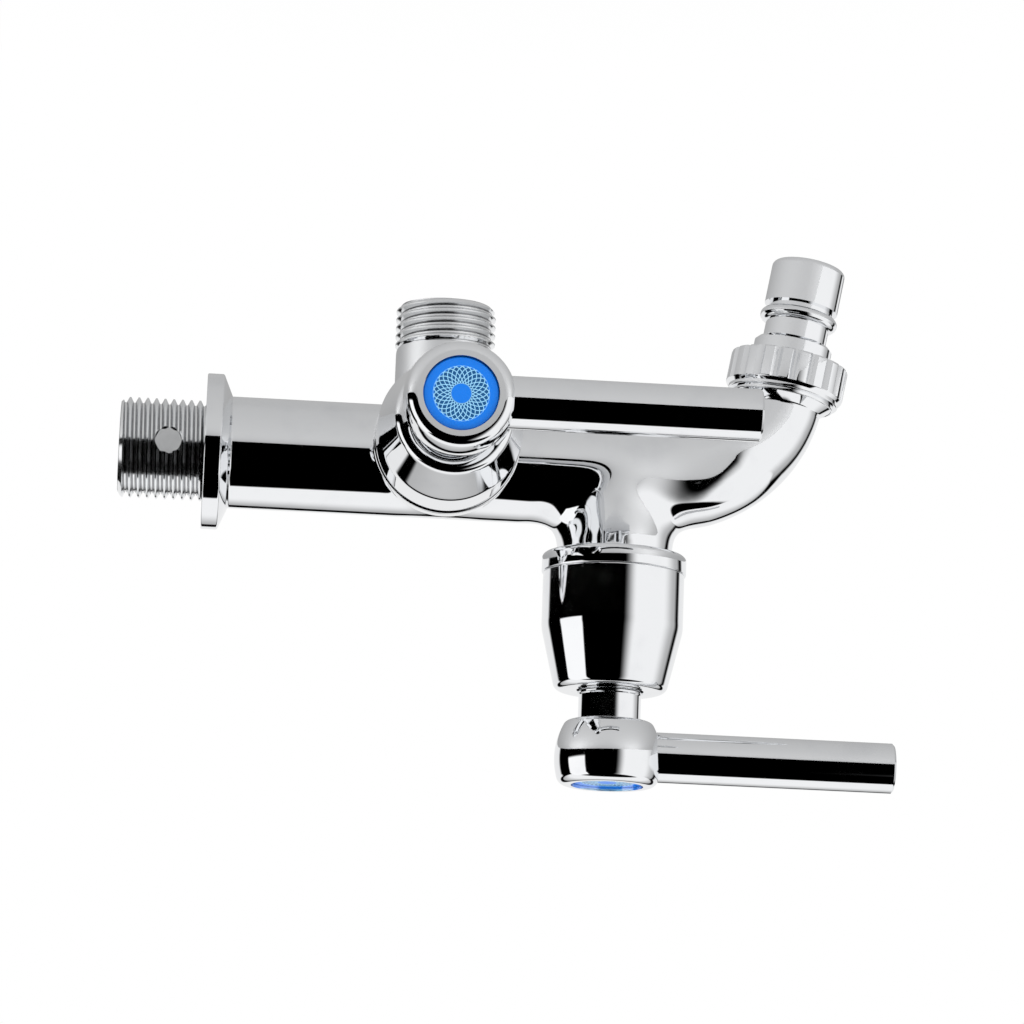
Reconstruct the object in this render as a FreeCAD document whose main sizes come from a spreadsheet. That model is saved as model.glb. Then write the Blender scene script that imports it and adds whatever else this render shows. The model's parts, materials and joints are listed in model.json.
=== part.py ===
import FreeCAD, Part
import math
import os
import Sketcher

# Wall tap for a washing machine: one inlet, two outlets, each with its own quarter-turn valve.
# The origin is on the inlet axis at the wall face of the collar. +Y points into the wall,
# -Y along the pipe to the spout, +Z up to the upper valve and +X out to the side valve.

SIZES = [
    # Inlet, collar and pipe
    ("inlet_thread_dia", 20.955, "half inch pipe thread, outside"),
    ("inlet_thread_length", 17.6, "thread from the wall face"),
    ("thread_chamfer", 1.0, "chamfer at the thread ends"),
    ("collar_dia", 32.5, "wall collar"),
    ("collar_width", 3.45, "straight rim of the wall collar"),
    ("collar_edge", 0.3, "broken edges of the wall collar"),
    ("collar_cone", 1.95, "cone from the collar down to the pipe"),
    ("pipe_dia", 23.4, "outside of the pipe"),
    ("inlet_bore_dia", 14.0, "waterway in the pipe"),
    ("spot_dia", 5.5, "flat spot drilled in the inlet thread"),
    ("spot_reach", 7.5, "flat spot behind the wall face"),
    ("spot_depth", 1.6, "flat spot below the thread crest"),
    # Valve bosses, the same on both valves; heights are from the pipe axis
    ("side_valve_reach", 49.4, "side valve from the wall face"),
    ("top_valve_reach", 86.6, "upper valve from the wall face"),
    ("boss_root_sink", 0.6, "boss inside the pipe wall, at the pipe axis"),
    ("boss_collar_lip", 0.35, "boss collar past the bell cover that it carries"),
    ("boss_collar_ledge", 0.9, "flat underside of the boss collar"),
    ("boss_rise", 5.6, "underside of the boss collar above the crown of the pipe"),
    ("boss_collar_round", 2.0, "round shoulder of the boss collar"),
    ("boss_collar_width", 4.6, "boss collar along the valve axis"),
    ("spigot_margin", 2.15, "threaded spigot inside the bell cover's outer face"),
    ("spigot_length", 4.0, "spigot above the boss face"),
    ("seat_height", 9.5, "valve seat"),
    ("seat_hole_dia", 9.0, "hole through the valve seat"),
    ("chamber_gap", 0.9, "chamber round the cartridge barrel"),
    ("upper_boss_blend", 4.0, "blend of the upper boss into the pipe"),
    ("side_boss_blend", 1.2, "blend of the side boss and lower outlet"),
    ("main_bore_overrun", 5.5, "pipe bore past the upper valve axis"),
    # Lower outlet
    ("outlet_thread_dia", 20.955, "half inch pipe thread, outside"),
    ("outlet_thread_length", 9.0, "thread at the end of the lower outlet"),
    ("outlet_neck_step", 0.2, "neck inside the crest of the thread"),
    ("outlet_length", 33.4, "end of the lower outlet below the pipe axis"),
    ("outlet_bore_dia", 14.0, "waterway in the lower outlet"),
    ("outlet_bore_roof", 1.2, "blind end of that waterway inside the pipe wall"),
    # Drilled passages from the chambers
    ("passage_dia", 5.0, "drilled passage"),
    ("passage_start_rise", 2.0, "start in the chamber above the valve seat"),
    ("side_passage_start_drop", 6.5, "start below the valve axis"),
    ("side_passage_end_x", 3.0, "end in the outlet bore"),
    ("side_passage_end_depth", 3.0, "end below the blind end of the outlet bore"),
    ("top_passage_start_ahead", 7.7, "start in the upper chamber, ahead of the valve axis"),
    ("top_passage_end_ahead", 14.4, "end in the spout bore, ahead of the valve axis"),
    ("top_passage_end_height", 2.5, "end above the pipe axis"),
    # Spout
    ("bend_reach", 96.2, "start of the bend from the wall face"),
    ("bend_outer_radius", 34.0, "outer edge of the bend"),
    ("bend_plain_turn", 25.0, "degrees of the bend before its taper"),
    ("spout_turn", 80.0, "degrees of the whole bend"),
    ("spout_end_dia", 17.2, "spout at the end of the bend"),
    ("spout_bore_dia", 11.0, "waterway in the spout"),
    ("spout_thread_dia", 20.955, "half inch pipe thread, outside"),
    ("spout_thread_length", 3.2, "thread past the end of the bend"),
    ("spout_thread_back", 0.9, "thread before the end of the bend"),
    ("spout_flare", 1.7, "flare from the bend up to the thread"),
    # Hose nozzle; heights are along the nozzle from the end of the bend
    ("washer_thickness", 1.5, "flat washer in the nut"),
    ("nipple_flange_thickness", 1.6, "flange held by the nut"),
    ("nipple_flange_gap", 0.6, "flange inside the thread of the nut"),
    ("nipple_shoulder_dia", 16.5, "shoulder above the nut"),
    ("nipple_shoulder_length", 5.8, "shoulder past the flange"),
    ("nipple_neck_dia", 13.4, "neck that the hose catch grips"),
    ("nipple_neck_length", 4.0, "neck past the shoulder"),
    ("nipple_ring_dia", 16.4, "rounded ring"),
    ("nipple_ring_width", 2.6, "rounded ring"),
    ("nipple_groove_dia", 13.6, "groove between ring and end"),
    ("nipple_groove_width", 1.2, "groove between ring and end"),
    ("nipple_end_dia", 15.6, "plain end that enters the hose"),
    ("nipple_end_length", 9.4, "plain end that enters the hose"),
    ("nipple_shoulder_edge", 0.7, "chamfer of the shoulder"),
    ("nipple_tip_round", 1.2, "rounded end edge"),
    ("nipple_bore_dia", 9.6, "waterway in the nipple"),
    ("nut_wall", 1.97, "ribbed nut outside its thread"),
    ("nut_lip_thickness", 1.7, "lip over the nipple flange"),
    ("nut_base_start", 1.0, "foot of the nut before the end of the bend"),
    ("nut_base_height", 2.3, "smooth base below the ribs"),
    ("nut_foot_wall", 0.45, "lowest ring of the base outside the thread"),
    ("nut_foot_height", 0.8, "lowest ring of the base"),
    ("nut_base_wall", 1.27, "upper ring of the base outside the thread"),
    ("nut_top_chamfer", 0.5, "chamfer above the ribs"),
    ("nut_rib_count", 20, "ribs round the nut"),
    ("nut_groove_width", 1.1, "groove between two ribs"),
    ("nut_groove_depth", 0.8, "groove between two ribs"),
    # Bell cover
    ("bell_dia", 29.5, "straight part of the bell cover"),
    ("bell_straight_length", 10.5, "straight part above the boss"),
    ("bell_taper", 13.3, "degrees of the bell cover's cone"),
    ("bell_shoulder_round", 14.0, "soft shoulder between straight part and cone"),
    ("bell_over_guide", 4.1, "top face of the bell cover past the spindle guide"),
    ("bell_edge_round", 2.0, "rounded edge of the bell cover"),
    ("bell_wall", 1.5, "wall of the bell cover"),
    ("bell_top_thickness", 2.0, "top of the bell cover"),
    ("bell_neck_gap", 0.45, "gap round the turning neck"),
    # Cartridge
    ("seal_thickness", 1.0, "flat washer below the hexagon"),
    ("seal_margin", 0.8, "flat washer inside the edge of the spigot"),
    ("hexagon_flats", 19.0, "across the flats"),
    ("hexagon_height", 4.5, "height of the hexagon"),
    ("barrel_wall", 0.9, "barrel with the side windows, round the discs"),
    ("barrel_foot_gap", 1.5, "barrel above the valve seat"),
    ("cartridge_thread_length", 5.0, "threaded part in the chamber"),
    ("disc_bore_dia", 15.0, "bore that holds the discs"),
    ("window_width", 7.0, "side window of the barrel"),
    ("window_height", 3.4, "side window of the barrel"),
    ("guide_dia", 12.4, "spindle guide above the hexagon"),
    ("guide_length", 11.1, "spindle guide above the hexagon"),
    ("gasket_thickness", 2.5, "rubber ring on the seat"),
    ("gasket_bore_dia", 9.6, "rubber ring on the seat"),
    ("disc_thickness", 2.0, "one ceramic disc"),
    ("port_inner_dia", 4.0, "inner edge of the disc ports"),
    ("port_outer_dia", 12.2, "outer edge of the fixed disc ports"),
    ("port_half_angle", 42.0, "half the angle of one port"),
    # Spindle
    ("spindle_dia", 8.0, "spindle shaft"),
    ("driver_thickness", 2.2, "bow-tie driver at the spindle's foot"),
    ("driver_tongue_width", 2.4, "tongue in the moving disc"),
    ("driver_tongue_depth", 1.0, "tongue in the moving disc"),
    ("drive_flats", 5.6, "square end in the hub"),
    ("oring_rise", 3.6, "middle of the spindle ring above the hexagon"),
    ("oring_thickness", 1.8, "cord of the spindle ring"),
    ("oring_depth", 1.35, "groove of the spindle ring"),
    ("oring_corner", 0.45, "cut corners of the spindle ring"),
    ("clip_thickness", 0.9, "retaining ring"),
    ("clip_depth", 0.8, "retaining ring groove"),
    ("clip_rim", 1.5, "retaining ring outside the spindle"),
    ("clip_opening", 5.0, "open side of the retaining ring"),
    # Handle
    ("neck_dia", 13.0, "turned neck of the hub"),
    ("neck_clip_gap", 0.75, "foot of the neck past the retaining ring"),
    ("neck_bead_gap", 0.6, "middle of the bead past the bell cover"),
    ("neck_bead_width", 0.9, "bead on the neck"),
    ("neck_bead_rise", 0.25, "bead on the neck"),
    ("neck_length", 6.4, "neck between the bell cover and the hub"),
    ("hub_dia", 22.3, "widest part of the hub"),
    ("hub_bulge_radius", 15.0, "barrel curve of the hub"),
    ("hub_bulge_rise", 7.8, "widest part above the underside"),
    ("hub_foot_round", 1.5, "rounded underside"),
    ("hub_rim_round", 2.0, "rounded rim"),
    ("lever_wall_below", 1.75, "hub below the lever bar"),
    ("lever_wall_above", 1.15, "hub above the lever bar"),
    ("lever_dia", 10.5, "lever bar"),
    ("lever_reach", 59.6, "lever tip from the valve axis"),
    ("lever_seat_depth", 2.2, "lever shoulder inside the widest part of the hub"),
    ("lever_stud_dia", 6.0, "threaded stud of the lever"),
    ("lever_stud_length", 3.4, "threaded stud of the lever"),
    ("lever_edge", 0.4, "chamfer at the lever tip"),
    ("cap_margin", 3.7, "blue cap inside the widest part of the hub"),
    ("cap_thickness", 1.2, "blue cap"),
    ("cap_recess", 0.7, "cap face below the rim"),
    ("cap_edge", 0.3, "chamfer of the cap"),
    ("screw_dia", 4.0, "handle screw"),
    ("screw_length", 9.0, "shank of the handle screw"),
    ("screw_head_dia", 7.0, "head of the handle screw"),
    ("screw_head_height", 2.6, "head of the handle screw"),
    ("screw_slot_width", 1.0, "slot of the handle screw"),
    ("screw_slot_depth", 1.2, "slot of the handle screw"),
    ("screw_web", 1.5, "web below the screw head"),
    ("cap_screw_gap", 2.2, "screw head below the cap"),
    # Clearances
    ("running_gap", 0.05, "between turning round faces"),
    ("fitted_gap", 0.05, "between faces screwed or pushed together"),
    ("loose_gap", 0.3, "between faces that must not touch"),
    ("cut_margin", 1.0, "cutters past the faces that they open"),
]

BEND_SECTIONS = 6
HEXAGON_CORNERS = 6
SQUARE_CORNERS = 4
PORTS = 2

X_AXIS = FreeCAD.Vector(1, 0, 0)
Y_AXIS = FreeCAD.Vector(0, 1, 0)
Z_AXIS = FreeCAD.Vector(0, 0, 1)
H_AXIS_GEOMETRY, V_AXIS_GEOMETRY = range(-1, -3, -1)
ORIGIN_GEOMETRY = H_AXIS_GEOMETRY
START, END, CENTRE = range(1, 4)

# Places that several pieces share
BEND_CENTRE_Z = "(dims.pipe_dia / 2 - dims.bend_outer_radius)"
SPOUT_SWING = "(dims.bend_outer_radius - dims.spout_end_dia / 2)"
SPOUT_END_AHEAD = f"(dims.bend_reach + {SPOUT_SWING} * sin(dims.spout_turn))"
SPOUT_END_Z = f"({BEND_CENTRE_Z} + {SPOUT_SWING} * cos(dims.spout_turn))"
BOSS_SHOULDER = "(dims.pipe_dia / 2 + dims.boss_rise)"
BOSS_FACE = f"({BOSS_SHOULDER} + dims.boss_collar_width)"
BELL_RADIUS = "(dims.bell_dia / 2)"
BOSS_RIM = f"({BELL_RADIUS} + dims.boss_collar_lip)"
BOSS_NECK = f"({BOSS_RIM} - dims.boss_collar_round - dims.boss_collar_ledge)"
BOSS_ROOT = "(dims.pipe_dia / 2 - dims.boss_root_sink)"
OUTLET_BORE_TOP = "(dims.pipe_dia / 2 - dims.outlet_bore_roof)"
SPIGOT_RADIUS = f"({BELL_RADIUS} - dims.spigot_margin)"
SPIGOT_TOP = f"({BOSS_FACE} + dims.spigot_length)"
BARREL_RADIUS = "(dims.disc_bore_dia / 2 + dims.barrel_wall)"
CHAMBER_RADIUS = f"({BARREL_RADIUS} + dims.chamber_gap)"
PASSAGE_START = "(dims.seat_height + dims.passage_start_rise)"
HEXAGON_FOOT = f"({SPIGOT_TOP} + dims.seal_thickness)"
HEXAGON_TOP = f"({HEXAGON_FOOT} + dims.hexagon_height)"
GUIDE_TOP = f"({HEXAGON_TOP} + dims.guide_length)"
BARREL_FOOT = "(dims.seat_height + dims.barrel_foot_gap)"
FIXED_DISC_FOOT = "(dims.seat_height + dims.gasket_thickness)"
MOVING_DISC_FOOT = f"({FIXED_DISC_FOOT} + dims.disc_thickness)"
DRIVER_FOOT = f"({MOVING_DISC_FOOT} + dims.disc_thickness)"
DRIVER_TOP = f"({DRIVER_FOOT} + dims.driver_thickness)"
ORING_FOOT = f"({HEXAGON_TOP} + dims.oring_rise - dims.oring_thickness / 2)"
ORING_TOP = f"({ORING_FOOT} + dims.oring_thickness)"
CLIP_FOOT = f"({GUIDE_TOP} + dims.running_gap)"
CLIP_TOP = f"({CLIP_FOOT} + dims.clip_thickness)"
CLIP_RADIUS = "(dims.spindle_dia / 2 + dims.clip_rim)"
NECK_FOOT = f"({CLIP_TOP} + dims.neck_clip_gap)"
BELL_STRAIGHT_TOP = f"({BOSS_FACE} + dims.bell_straight_length)"
BELL_TOP = f"({GUIDE_TOP} + dims.bell_over_guide)"
HUB_FOOT = f"({BELL_TOP} + dims.neck_length)"
LEVER_HEIGHT = f"({HUB_FOOT} + dims.lever_wall_below + dims.lever_dia / 2)"
LEVER_SEAT = "(dims.hub_dia / 2 - dims.lever_seat_depth)"
HUB_TOP = f"({LEVER_HEIGHT} + dims.lever_dia / 2 + dims.lever_wall_above)"
CAP_RADIUS = "(dims.hub_dia / 2 - dims.cap_margin)"
CAP_SEAT = f"({HUB_TOP} - dims.cap_recess - dims.cap_thickness)"
SCREW_SEAT = f"({CAP_SEAT} - dims.cap_screw_gap - dims.screw_head_height)"
DRIVE_TOP = f"({SCREW_SEAT} - dims.screw_web)"
WASHER_TOP = "(dims.spout_thread_length + dims.washer_thickness)"
FLANGE_RADIUS = "(dims.spout_thread_dia / 2 - dims.nipple_flange_gap)"
FLANGE_TOP = f"({WASHER_TOP} + dims.nipple_flange_thickness)"
SHOULDER_TOP = f"({FLANGE_TOP} + dims.nipple_shoulder_length)"
NIPPLE_NECK_TOP = f"({SHOULDER_TOP} + dims.nipple_neck_length)"
NUT_RADIUS = "(dims.spout_thread_dia / 2 + dims.nut_wall)"
NUT_TOP = f"({FLANGE_TOP} + dims.nut_lip_thickness)"

doc = FreeCAD.newDocument("washing_machine_tap")
sheet = doc.addObject("Spreadsheet::Sheet", "dims")
for row, (alias, value, meaning) in enumerate(SIZES, start=1):
    sheet.set(f"A{row}", alias.replace("_", " "))
    sheet.set(f"B{row}", str(value))
    sheet.setAlias(f"B{row}", alias)
    sheet.set(f"C{row}", meaning)
doc.recompute()

bodies = []


def size(expression):
    """Present value of an expression over the sheet."""
    value = sheet.evalExpression(expression)
    return float(getattr(value, "Value", value))


def new_body(label):
    """An empty body whose label names its file."""
    body = doc.addObject("PartDesign::Body", label)
    body.Label = label
    bodies.append(body)
    return body


def new_sketch(body, name, role, base=("0", "0", "0"), turn="0", about=Z_AXIS):
    """A sketch on one of the body's own planes, shifted and turned by expressions."""
    plane = next(item for item in body.Origin.OriginFeatures if item.Role == role)
    sketch = body.newObject("Sketcher::SketchObject", name)
    sketch.AttachmentSupport = [(plane, "")]
    sketch.MapMode = "FlatFace"
    turned = size(turn)
    shift = FreeCAD.Vector(*[size(item) for item in base])
    sketch.AttachmentOffset = FreeCAD.Placement(shift, FreeCAD.Rotation(about, turned))
    for letter, expression in zip("xyz", base):
        if expression != "0":
            sketch.setExpression(f"AttachmentOffset.Base.{letter}", expression)
    if turn != "0":
        sketch.setExpression("AttachmentOffset.Rotation.Angle", turn)
    return sketch


def bind(sketch, constraint, expression):
    """Add a dimension and tie it to the sheet."""
    index = sketch.addConstraint(constraint)
    sketch.setExpression(f"Constraints[{index}]", expression)


def arc_between(first, last, radius, centre_on_left):
    """The short arc from one corner to the next, and whether it runs backwards."""
    chord = last - first
    height = math.sqrt(max(radius ** 2 - (chord.Length / 2) ** 2, 0.0))
    left = FreeCAD.Vector(-chord.y, chord.x, 0).normalize()
    centre = (first + last) / 2 + left * (height if centre_on_left else -height)
    start, stop = (first, last) if centre_on_left else (last, first)
    angles = [math.atan2(point.y - centre.y, point.x - centre.x) for point in (start, stop)]
    circle = Part.Circle(centre, Z_AXIS, radius)
    return Part.ArcOfCircle(circle, angles[0], angles[1]), not centre_on_left


def outline(sketch, corners):
    """Close an outline through corners given as expressions.

    A corner may also hold an arc's radius and the side of its centre: the edge that leaves
    it is then that arc.
    """
    points = [FreeCAD.Vector(size(corner[0]), size(corner[1]), 0) for corner in corners]
    ends = []
    for index, corner in enumerate(corners):
        first = points[index]
        last = points[(index + 1) % len(points)]
        if len(corner) == 2:
            sketch.addGeometry(Part.LineSegment(first, last), False)
            ends.append((START, END))
            continue
        arc, backwards = arc_between(first, last, size(corner[2]), corner[3] == "left")
        sketch.addGeometry(arc, False)
        ends.append((END, START) if backwards else (START, END))
    for index, corner in enumerate(corners):
        following = (index + 1) % len(corners)
        sketch.addConstraint(
            Sketcher.Constraint("Coincident", index, ends[index][1], following, ends[following][0])
        )
        place(sketch, index, ends[index][0], corner, points[index])
        if len(corner) > 2:
            bind(sketch, Sketcher.Constraint("Radius", index, size(corner[2])), corner[2])


def place(sketch, geometry, end, corner, point):
    """Hold one corner at its two expressions."""
    kinds = (("DistanceX", V_AXIS_GEOMETRY, point.x), ("DistanceY", H_AXIS_GEOMETRY, point.y))
    for expression, (kind, axis, value) in zip(corner, kinds):
        if expression == "0":
            sketch.addConstraint(Sketcher.Constraint("PointOnObject", geometry, end, axis))
        else:
            rule = Sketcher.Constraint(kind, ORIGIN_GEOMETRY, START, geometry, end, value)
            bind(sketch, rule, expression)


def revolve(body, name, corners, role="XZ_Plane", cut=False, **where):
    """Turn an outline of radius and height about its own height axis."""
    sketch = new_sketch(body, f"{name}_outline", role, **where)
    outline(sketch, corners)
    kind = "PartDesign::Groove" if cut else "PartDesign::Revolution"
    feature = body.newObject(kind, name)
    feature.Profile = sketch
    feature.ReferenceAxis = (sketch, ["V_Axis"])
    feature.Angle = 360
    doc.recompute()
    return feature


def extrude(body, name, corners, foot, top, cut=False, role="XY_Plane", **where):
    """Raise an outline from one height to another, or cut it away."""
    sketch = new_sketch(body, f"{name}_outline", role, base=("0", "0", foot), **where)
    outline(sketch, corners)
    kind = "PartDesign::Pocket" if cut else "PartDesign::Pad"
    feature = body.newObject(kind, name)
    feature.Profile = sketch
    feature.setExpression("Length", f"({top}) - ({foot})")
    feature.Reversed = cut
    doc.recompute()
    return feature


def polar_pattern(body, name, feature, count):
    """Repeat a feature about the body's height axis."""
    axis = next(item for item in body.Origin.OriginFeatures if item.Role == "Z_Axis")
    pattern = body.newObject("PartDesign::PolarPattern", name)
    pattern.Originals = [feature]
    pattern.Axis = (axis, [""])
    pattern.Angle = 360
    pattern.setExpression("Occurrences", count)
    body.Tip = pattern
    doc.recompute()
    return pattern


def rectangle(half_width, half_depth):
    """Corners of a rectangle about the sketch origin."""
    return [
        (f"-({half_width})", f"-({half_depth})"),
        (half_width, f"-({half_depth})"),
        (half_width, half_depth),
        (f"-({half_width})", half_depth),
    ]


def sector(inner, outer, half_angle):
    """Corners of a ring sector about the sketch's X axis."""
    near = f"({inner}) * cos({half_angle})"
    far = f"({outer}) * cos({half_angle})"
    near_rise = f"({inner}) * sin({half_angle})"
    far_rise = f"({outer}) * sin({half_angle})"
    return [
        (near, f"-{near_rise}"),
        (far, f"-{far_rise}", outer, "left"),
        (far, far_rise),
        (near, near_rise, inner, "right"),
    ]


def regular_polygon(flats, count):
    """Corners of a regular polygon with the given size across its flats."""
    reach = f"({flats}) / 2 / cos({180 / count})"
    corners = []
    for index in range(count):
        angle = 360 * (index + 0.5) / count
        corners.append((f"{reach} * cos({angle})", f"{reach} * sin({angle})"))
    return corners


def tube(inner, outer, foot, top):
    """Corners of a plain ring."""
    return [(inner, foot), (outer, foot), (outer, top), (inner, top)]


def rod(radius, foot, top):
    """Corners of a plain round bar."""
    return [("0", foot), (radius, foot), (radius, top), ("0", top)]


# Tap body

ALONG_PIPE = {"role": "YZ_Plane", "turn": "90"}
UP_TOP_VALVE = {"role": "YZ_Plane", "base": ("-dims.top_valve_reach", "0", "0")}
OUT_SIDE_VALVE = {"role": "XY_Plane", "base": ("0", "-dims.side_valve_reach", "0"), "turn": "-90"}
DOWN_OUTLET = {"role": "YZ_Plane", "base": ("-dims.side_valve_reach", "0", "0"), "turn": "180"}
ALONG_NOZZLE = {
    "role": "YZ_Plane",
    "base": (f"-{SPOUT_END_AHEAD}", SPOUT_END_Z, "0"),
    "turn": "90 + dims.spout_turn",
}
OUT_SPOT = {"role": "XY_Plane", "base": ("0", "dims.spot_reach", "0"), "turn": "-90"}


def pipe_corners():
    """Inlet thread, wall collar and pipe up to the bend."""
    thread = "dims.inlet_thread_dia / 2"
    return [
        ("0", "-dims.inlet_thread_length"),
        (f"{thread} - dims.thread_chamfer", "-dims.inlet_thread_length"),
        (thread, "dims.thread_chamfer - dims.inlet_thread_length"),
        (thread, "0"),
        ("dims.collar_dia / 2 - dims.collar_edge", "0"),
        ("dims.collar_dia / 2", "dims.collar_edge"),
        ("dims.collar_dia / 2", "dims.collar_width"),
        ("dims.pipe_dia / 2", "dims.collar_width + dims.collar_cone"),
        ("dims.pipe_dia / 2", "dims.bend_reach"),
        ("0", "dims.bend_reach"),
    ]


def boss_corners():
    """Valve boss with its round-shouldered collar and the spigot for the bell cover."""
    shoulder = "dims.boss_collar_round"
    return [
        ("0", "0"),
        (BOSS_ROOT, "0"),
        (BOSS_NECK, BOSS_SHOULDER),
        (f"{BOSS_RIM} - {shoulder}", BOSS_SHOULDER, shoulder, "left"),
        (BOSS_RIM, f"{BOSS_SHOULDER} + {shoulder}"),
        (BOSS_RIM, BOSS_FACE),
        (SPIGOT_RADIUS, BOSS_FACE),
        (SPIGOT_RADIUS, SPIGOT_TOP),
        ("0", SPIGOT_TOP),
    ]


def chamber_corners():
    """Cartridge chamber and the seat hole below it."""
    mouth = f"{SPIGOT_TOP} + dims.cut_margin"
    return [
        ("0", "0"),
        ("dims.seat_hole_dia / 2", "0"),
        ("dims.seat_hole_dia / 2", "dims.seat_height"),
        (CHAMBER_RADIUS, "dims.seat_height"),
        (CHAMBER_RADIUS, mouth),
        ("0", mouth),
    ]


def outlet_corners():
    """Lower outlet with its neck and chamfered thread."""
    thread = "dims.outlet_thread_dia / 2"
    neck = f"{thread} - dims.outlet_neck_step"
    thread_start = "dims.outlet_length - dims.outlet_thread_length"
    return [
        ("0", "0"),
        (neck, "0"),
        (neck, thread_start),
        (thread, thread_start),
        (thread, "dims.outlet_length - dims.thread_chamfer"),
        (f"{thread} - dims.thread_chamfer", "dims.outlet_length"),
        ("0", "dims.outlet_length"),
    ]


def spout_end_corners():
    """Flared and threaded end of the spout."""
    thread = "dims.spout_thread_dia / 2"
    flare_foot = "-(dims.spout_thread_back + dims.spout_flare)"
    return [
        ("0", flare_foot),
        ("dims.spout_end_dia / 2 - dims.loose_gap", flare_foot),
        (thread, "-dims.spout_thread_back"),
        (thread, "dims.spout_thread_length - dims.thread_chamfer"),
        (f"{thread} - dims.thread_chamfer", "dims.spout_thread_length"),
        ("0", "dims.spout_thread_length"),
    ]


def circle(sketch, radius):
    """A circle about the sketch origin."""
    index = sketch.addGeometry(Part.Circle(FreeCAD.Vector(), Z_AXIS, size(radius)), False)
    sketch.addConstraint(Sketcher.Constraint("Coincident", index, CENTRE, ORIGIN_GEOMETRY, START))
    bind(sketch, Sketcher.Constraint("Radius", index, size(radius)), radius)


def plain_bend(body, name, radius, cut=False):
    """First part of the bend, where the pipe keeps its size."""
    sketch = new_sketch(body, f"{name}_section", "XZ_Plane", base=("0", "0", "dims.bend_reach"))
    circle(sketch, radius)
    drop = size(BEND_CENTRE_Z)
    half_axis = size(radius)
    axis_ends = [FreeCAD.Vector(-half_axis, drop, 0), FreeCAD.Vector(half_axis, drop, 0)]
    axis = sketch.addGeometry(Part.LineSegment(*axis_ends), True)
    sketch.addConstraint(Sketcher.Constraint("Horizontal", axis))
    half_width = Sketcher.Constraint("DistanceX", ORIGIN_GEOMETRY, START, axis, END, half_axis)
    bind(sketch, half_width, radius)
    full_width = Sketcher.Constraint("DistanceX", axis, START, axis, END, 2 * half_axis)
    bind(sketch, full_width, f"2 * ({radius})")
    depth = Sketcher.Constraint("DistanceY", ORIGIN_GEOMETRY, START, axis, END, drop)
    bind(sketch, depth, BEND_CENTRE_Z)
    kind = "PartDesign::Groove" if cut else "PartDesign::Revolution"
    feature = body.newObject(kind, name)
    feature.Profile = sketch
    feature.ReferenceAxis = (sketch, ["Axis0"])
    feature.setExpression("Angle", "dims.bend_plain_turn")
    doc.recompute()
    return feature


def tapered_bend(body, name, bore=None):
    """Rest of the bend, which narrows smoothly to the end of the spout."""
    sections = []
    for index in range(BEND_SECTIONS):
        share = index / (BEND_SECTIONS - 1)
        eased = share ** 2 * (3 - 2 * share)
        turn = f"dims.bend_plain_turn + (dims.spout_turn - dims.bend_plain_turn) * {share}"
        outer = f"(dims.pipe_dia + (dims.spout_end_dia - dims.pipe_dia) * {eased}) / 2"
        swing = f"(dims.bend_outer_radius - {outer})"
        ahead = f"dims.bend_reach + {swing} * sin({turn})"
        height = f"{BEND_CENTRE_Z} + {swing} * cos({turn})"
        sketch = new_sketch(
            body, f"{name}_section_{index}", "XZ_Plane", base=("0", height, ahead), turn=turn, about=X_AXIS
        )
        circle(sketch, bore or outer)
        sections.append(sketch)
    kind = "PartDesign::SubtractiveLoft" if bore else "PartDesign::AdditiveLoft"
    loft = body.newObject(kind, name)
    loft.Profile = sections[0]
    loft.Sections = sections[1:]
    doc.recompute()
    return loft


def blend(body, name, radius, near, reach):
    """Round the curved seams between the pipe and a boss near a point of the pipe axis."""
    base = body.Tip
    edges = []
    for index, edge in enumerate(base.Shape.Edges, start=1):
        straight_or_round = isinstance(edge.Curve, (Part.Line, Part.LineSegment, Part.Circle))
        if not straight_or_round and edge.BoundBox.Center.distanceToPoint(near) < reach:
            edges.append(f"Edge{index}")
    feature = body.newObject("PartDesign::Fillet", name)
    feature.Base = (base, edges)
    feature.setExpression("Radius", radius)
    doc.recompute()
    return feature


def slanted_passage(body, name, role, start, end, side_shift):
    """A drilled hole between two points of a plane."""
    run = (f"({end[0]} - {start[0]})", f"({end[1]} - {start[1]})")
    length = f"sqrt({run[0]} * {run[0]} + {run[1]} * {run[1]})"
    turn = f"atan2({run[1]}; {run[0]}) - 90 deg"
    corners = rod("dims.passage_dia / 2", "0", length)
    revolve(body, name, corners, role=role, cut=True, base=(start[0], start[1], side_shift), turn=turn)


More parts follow.
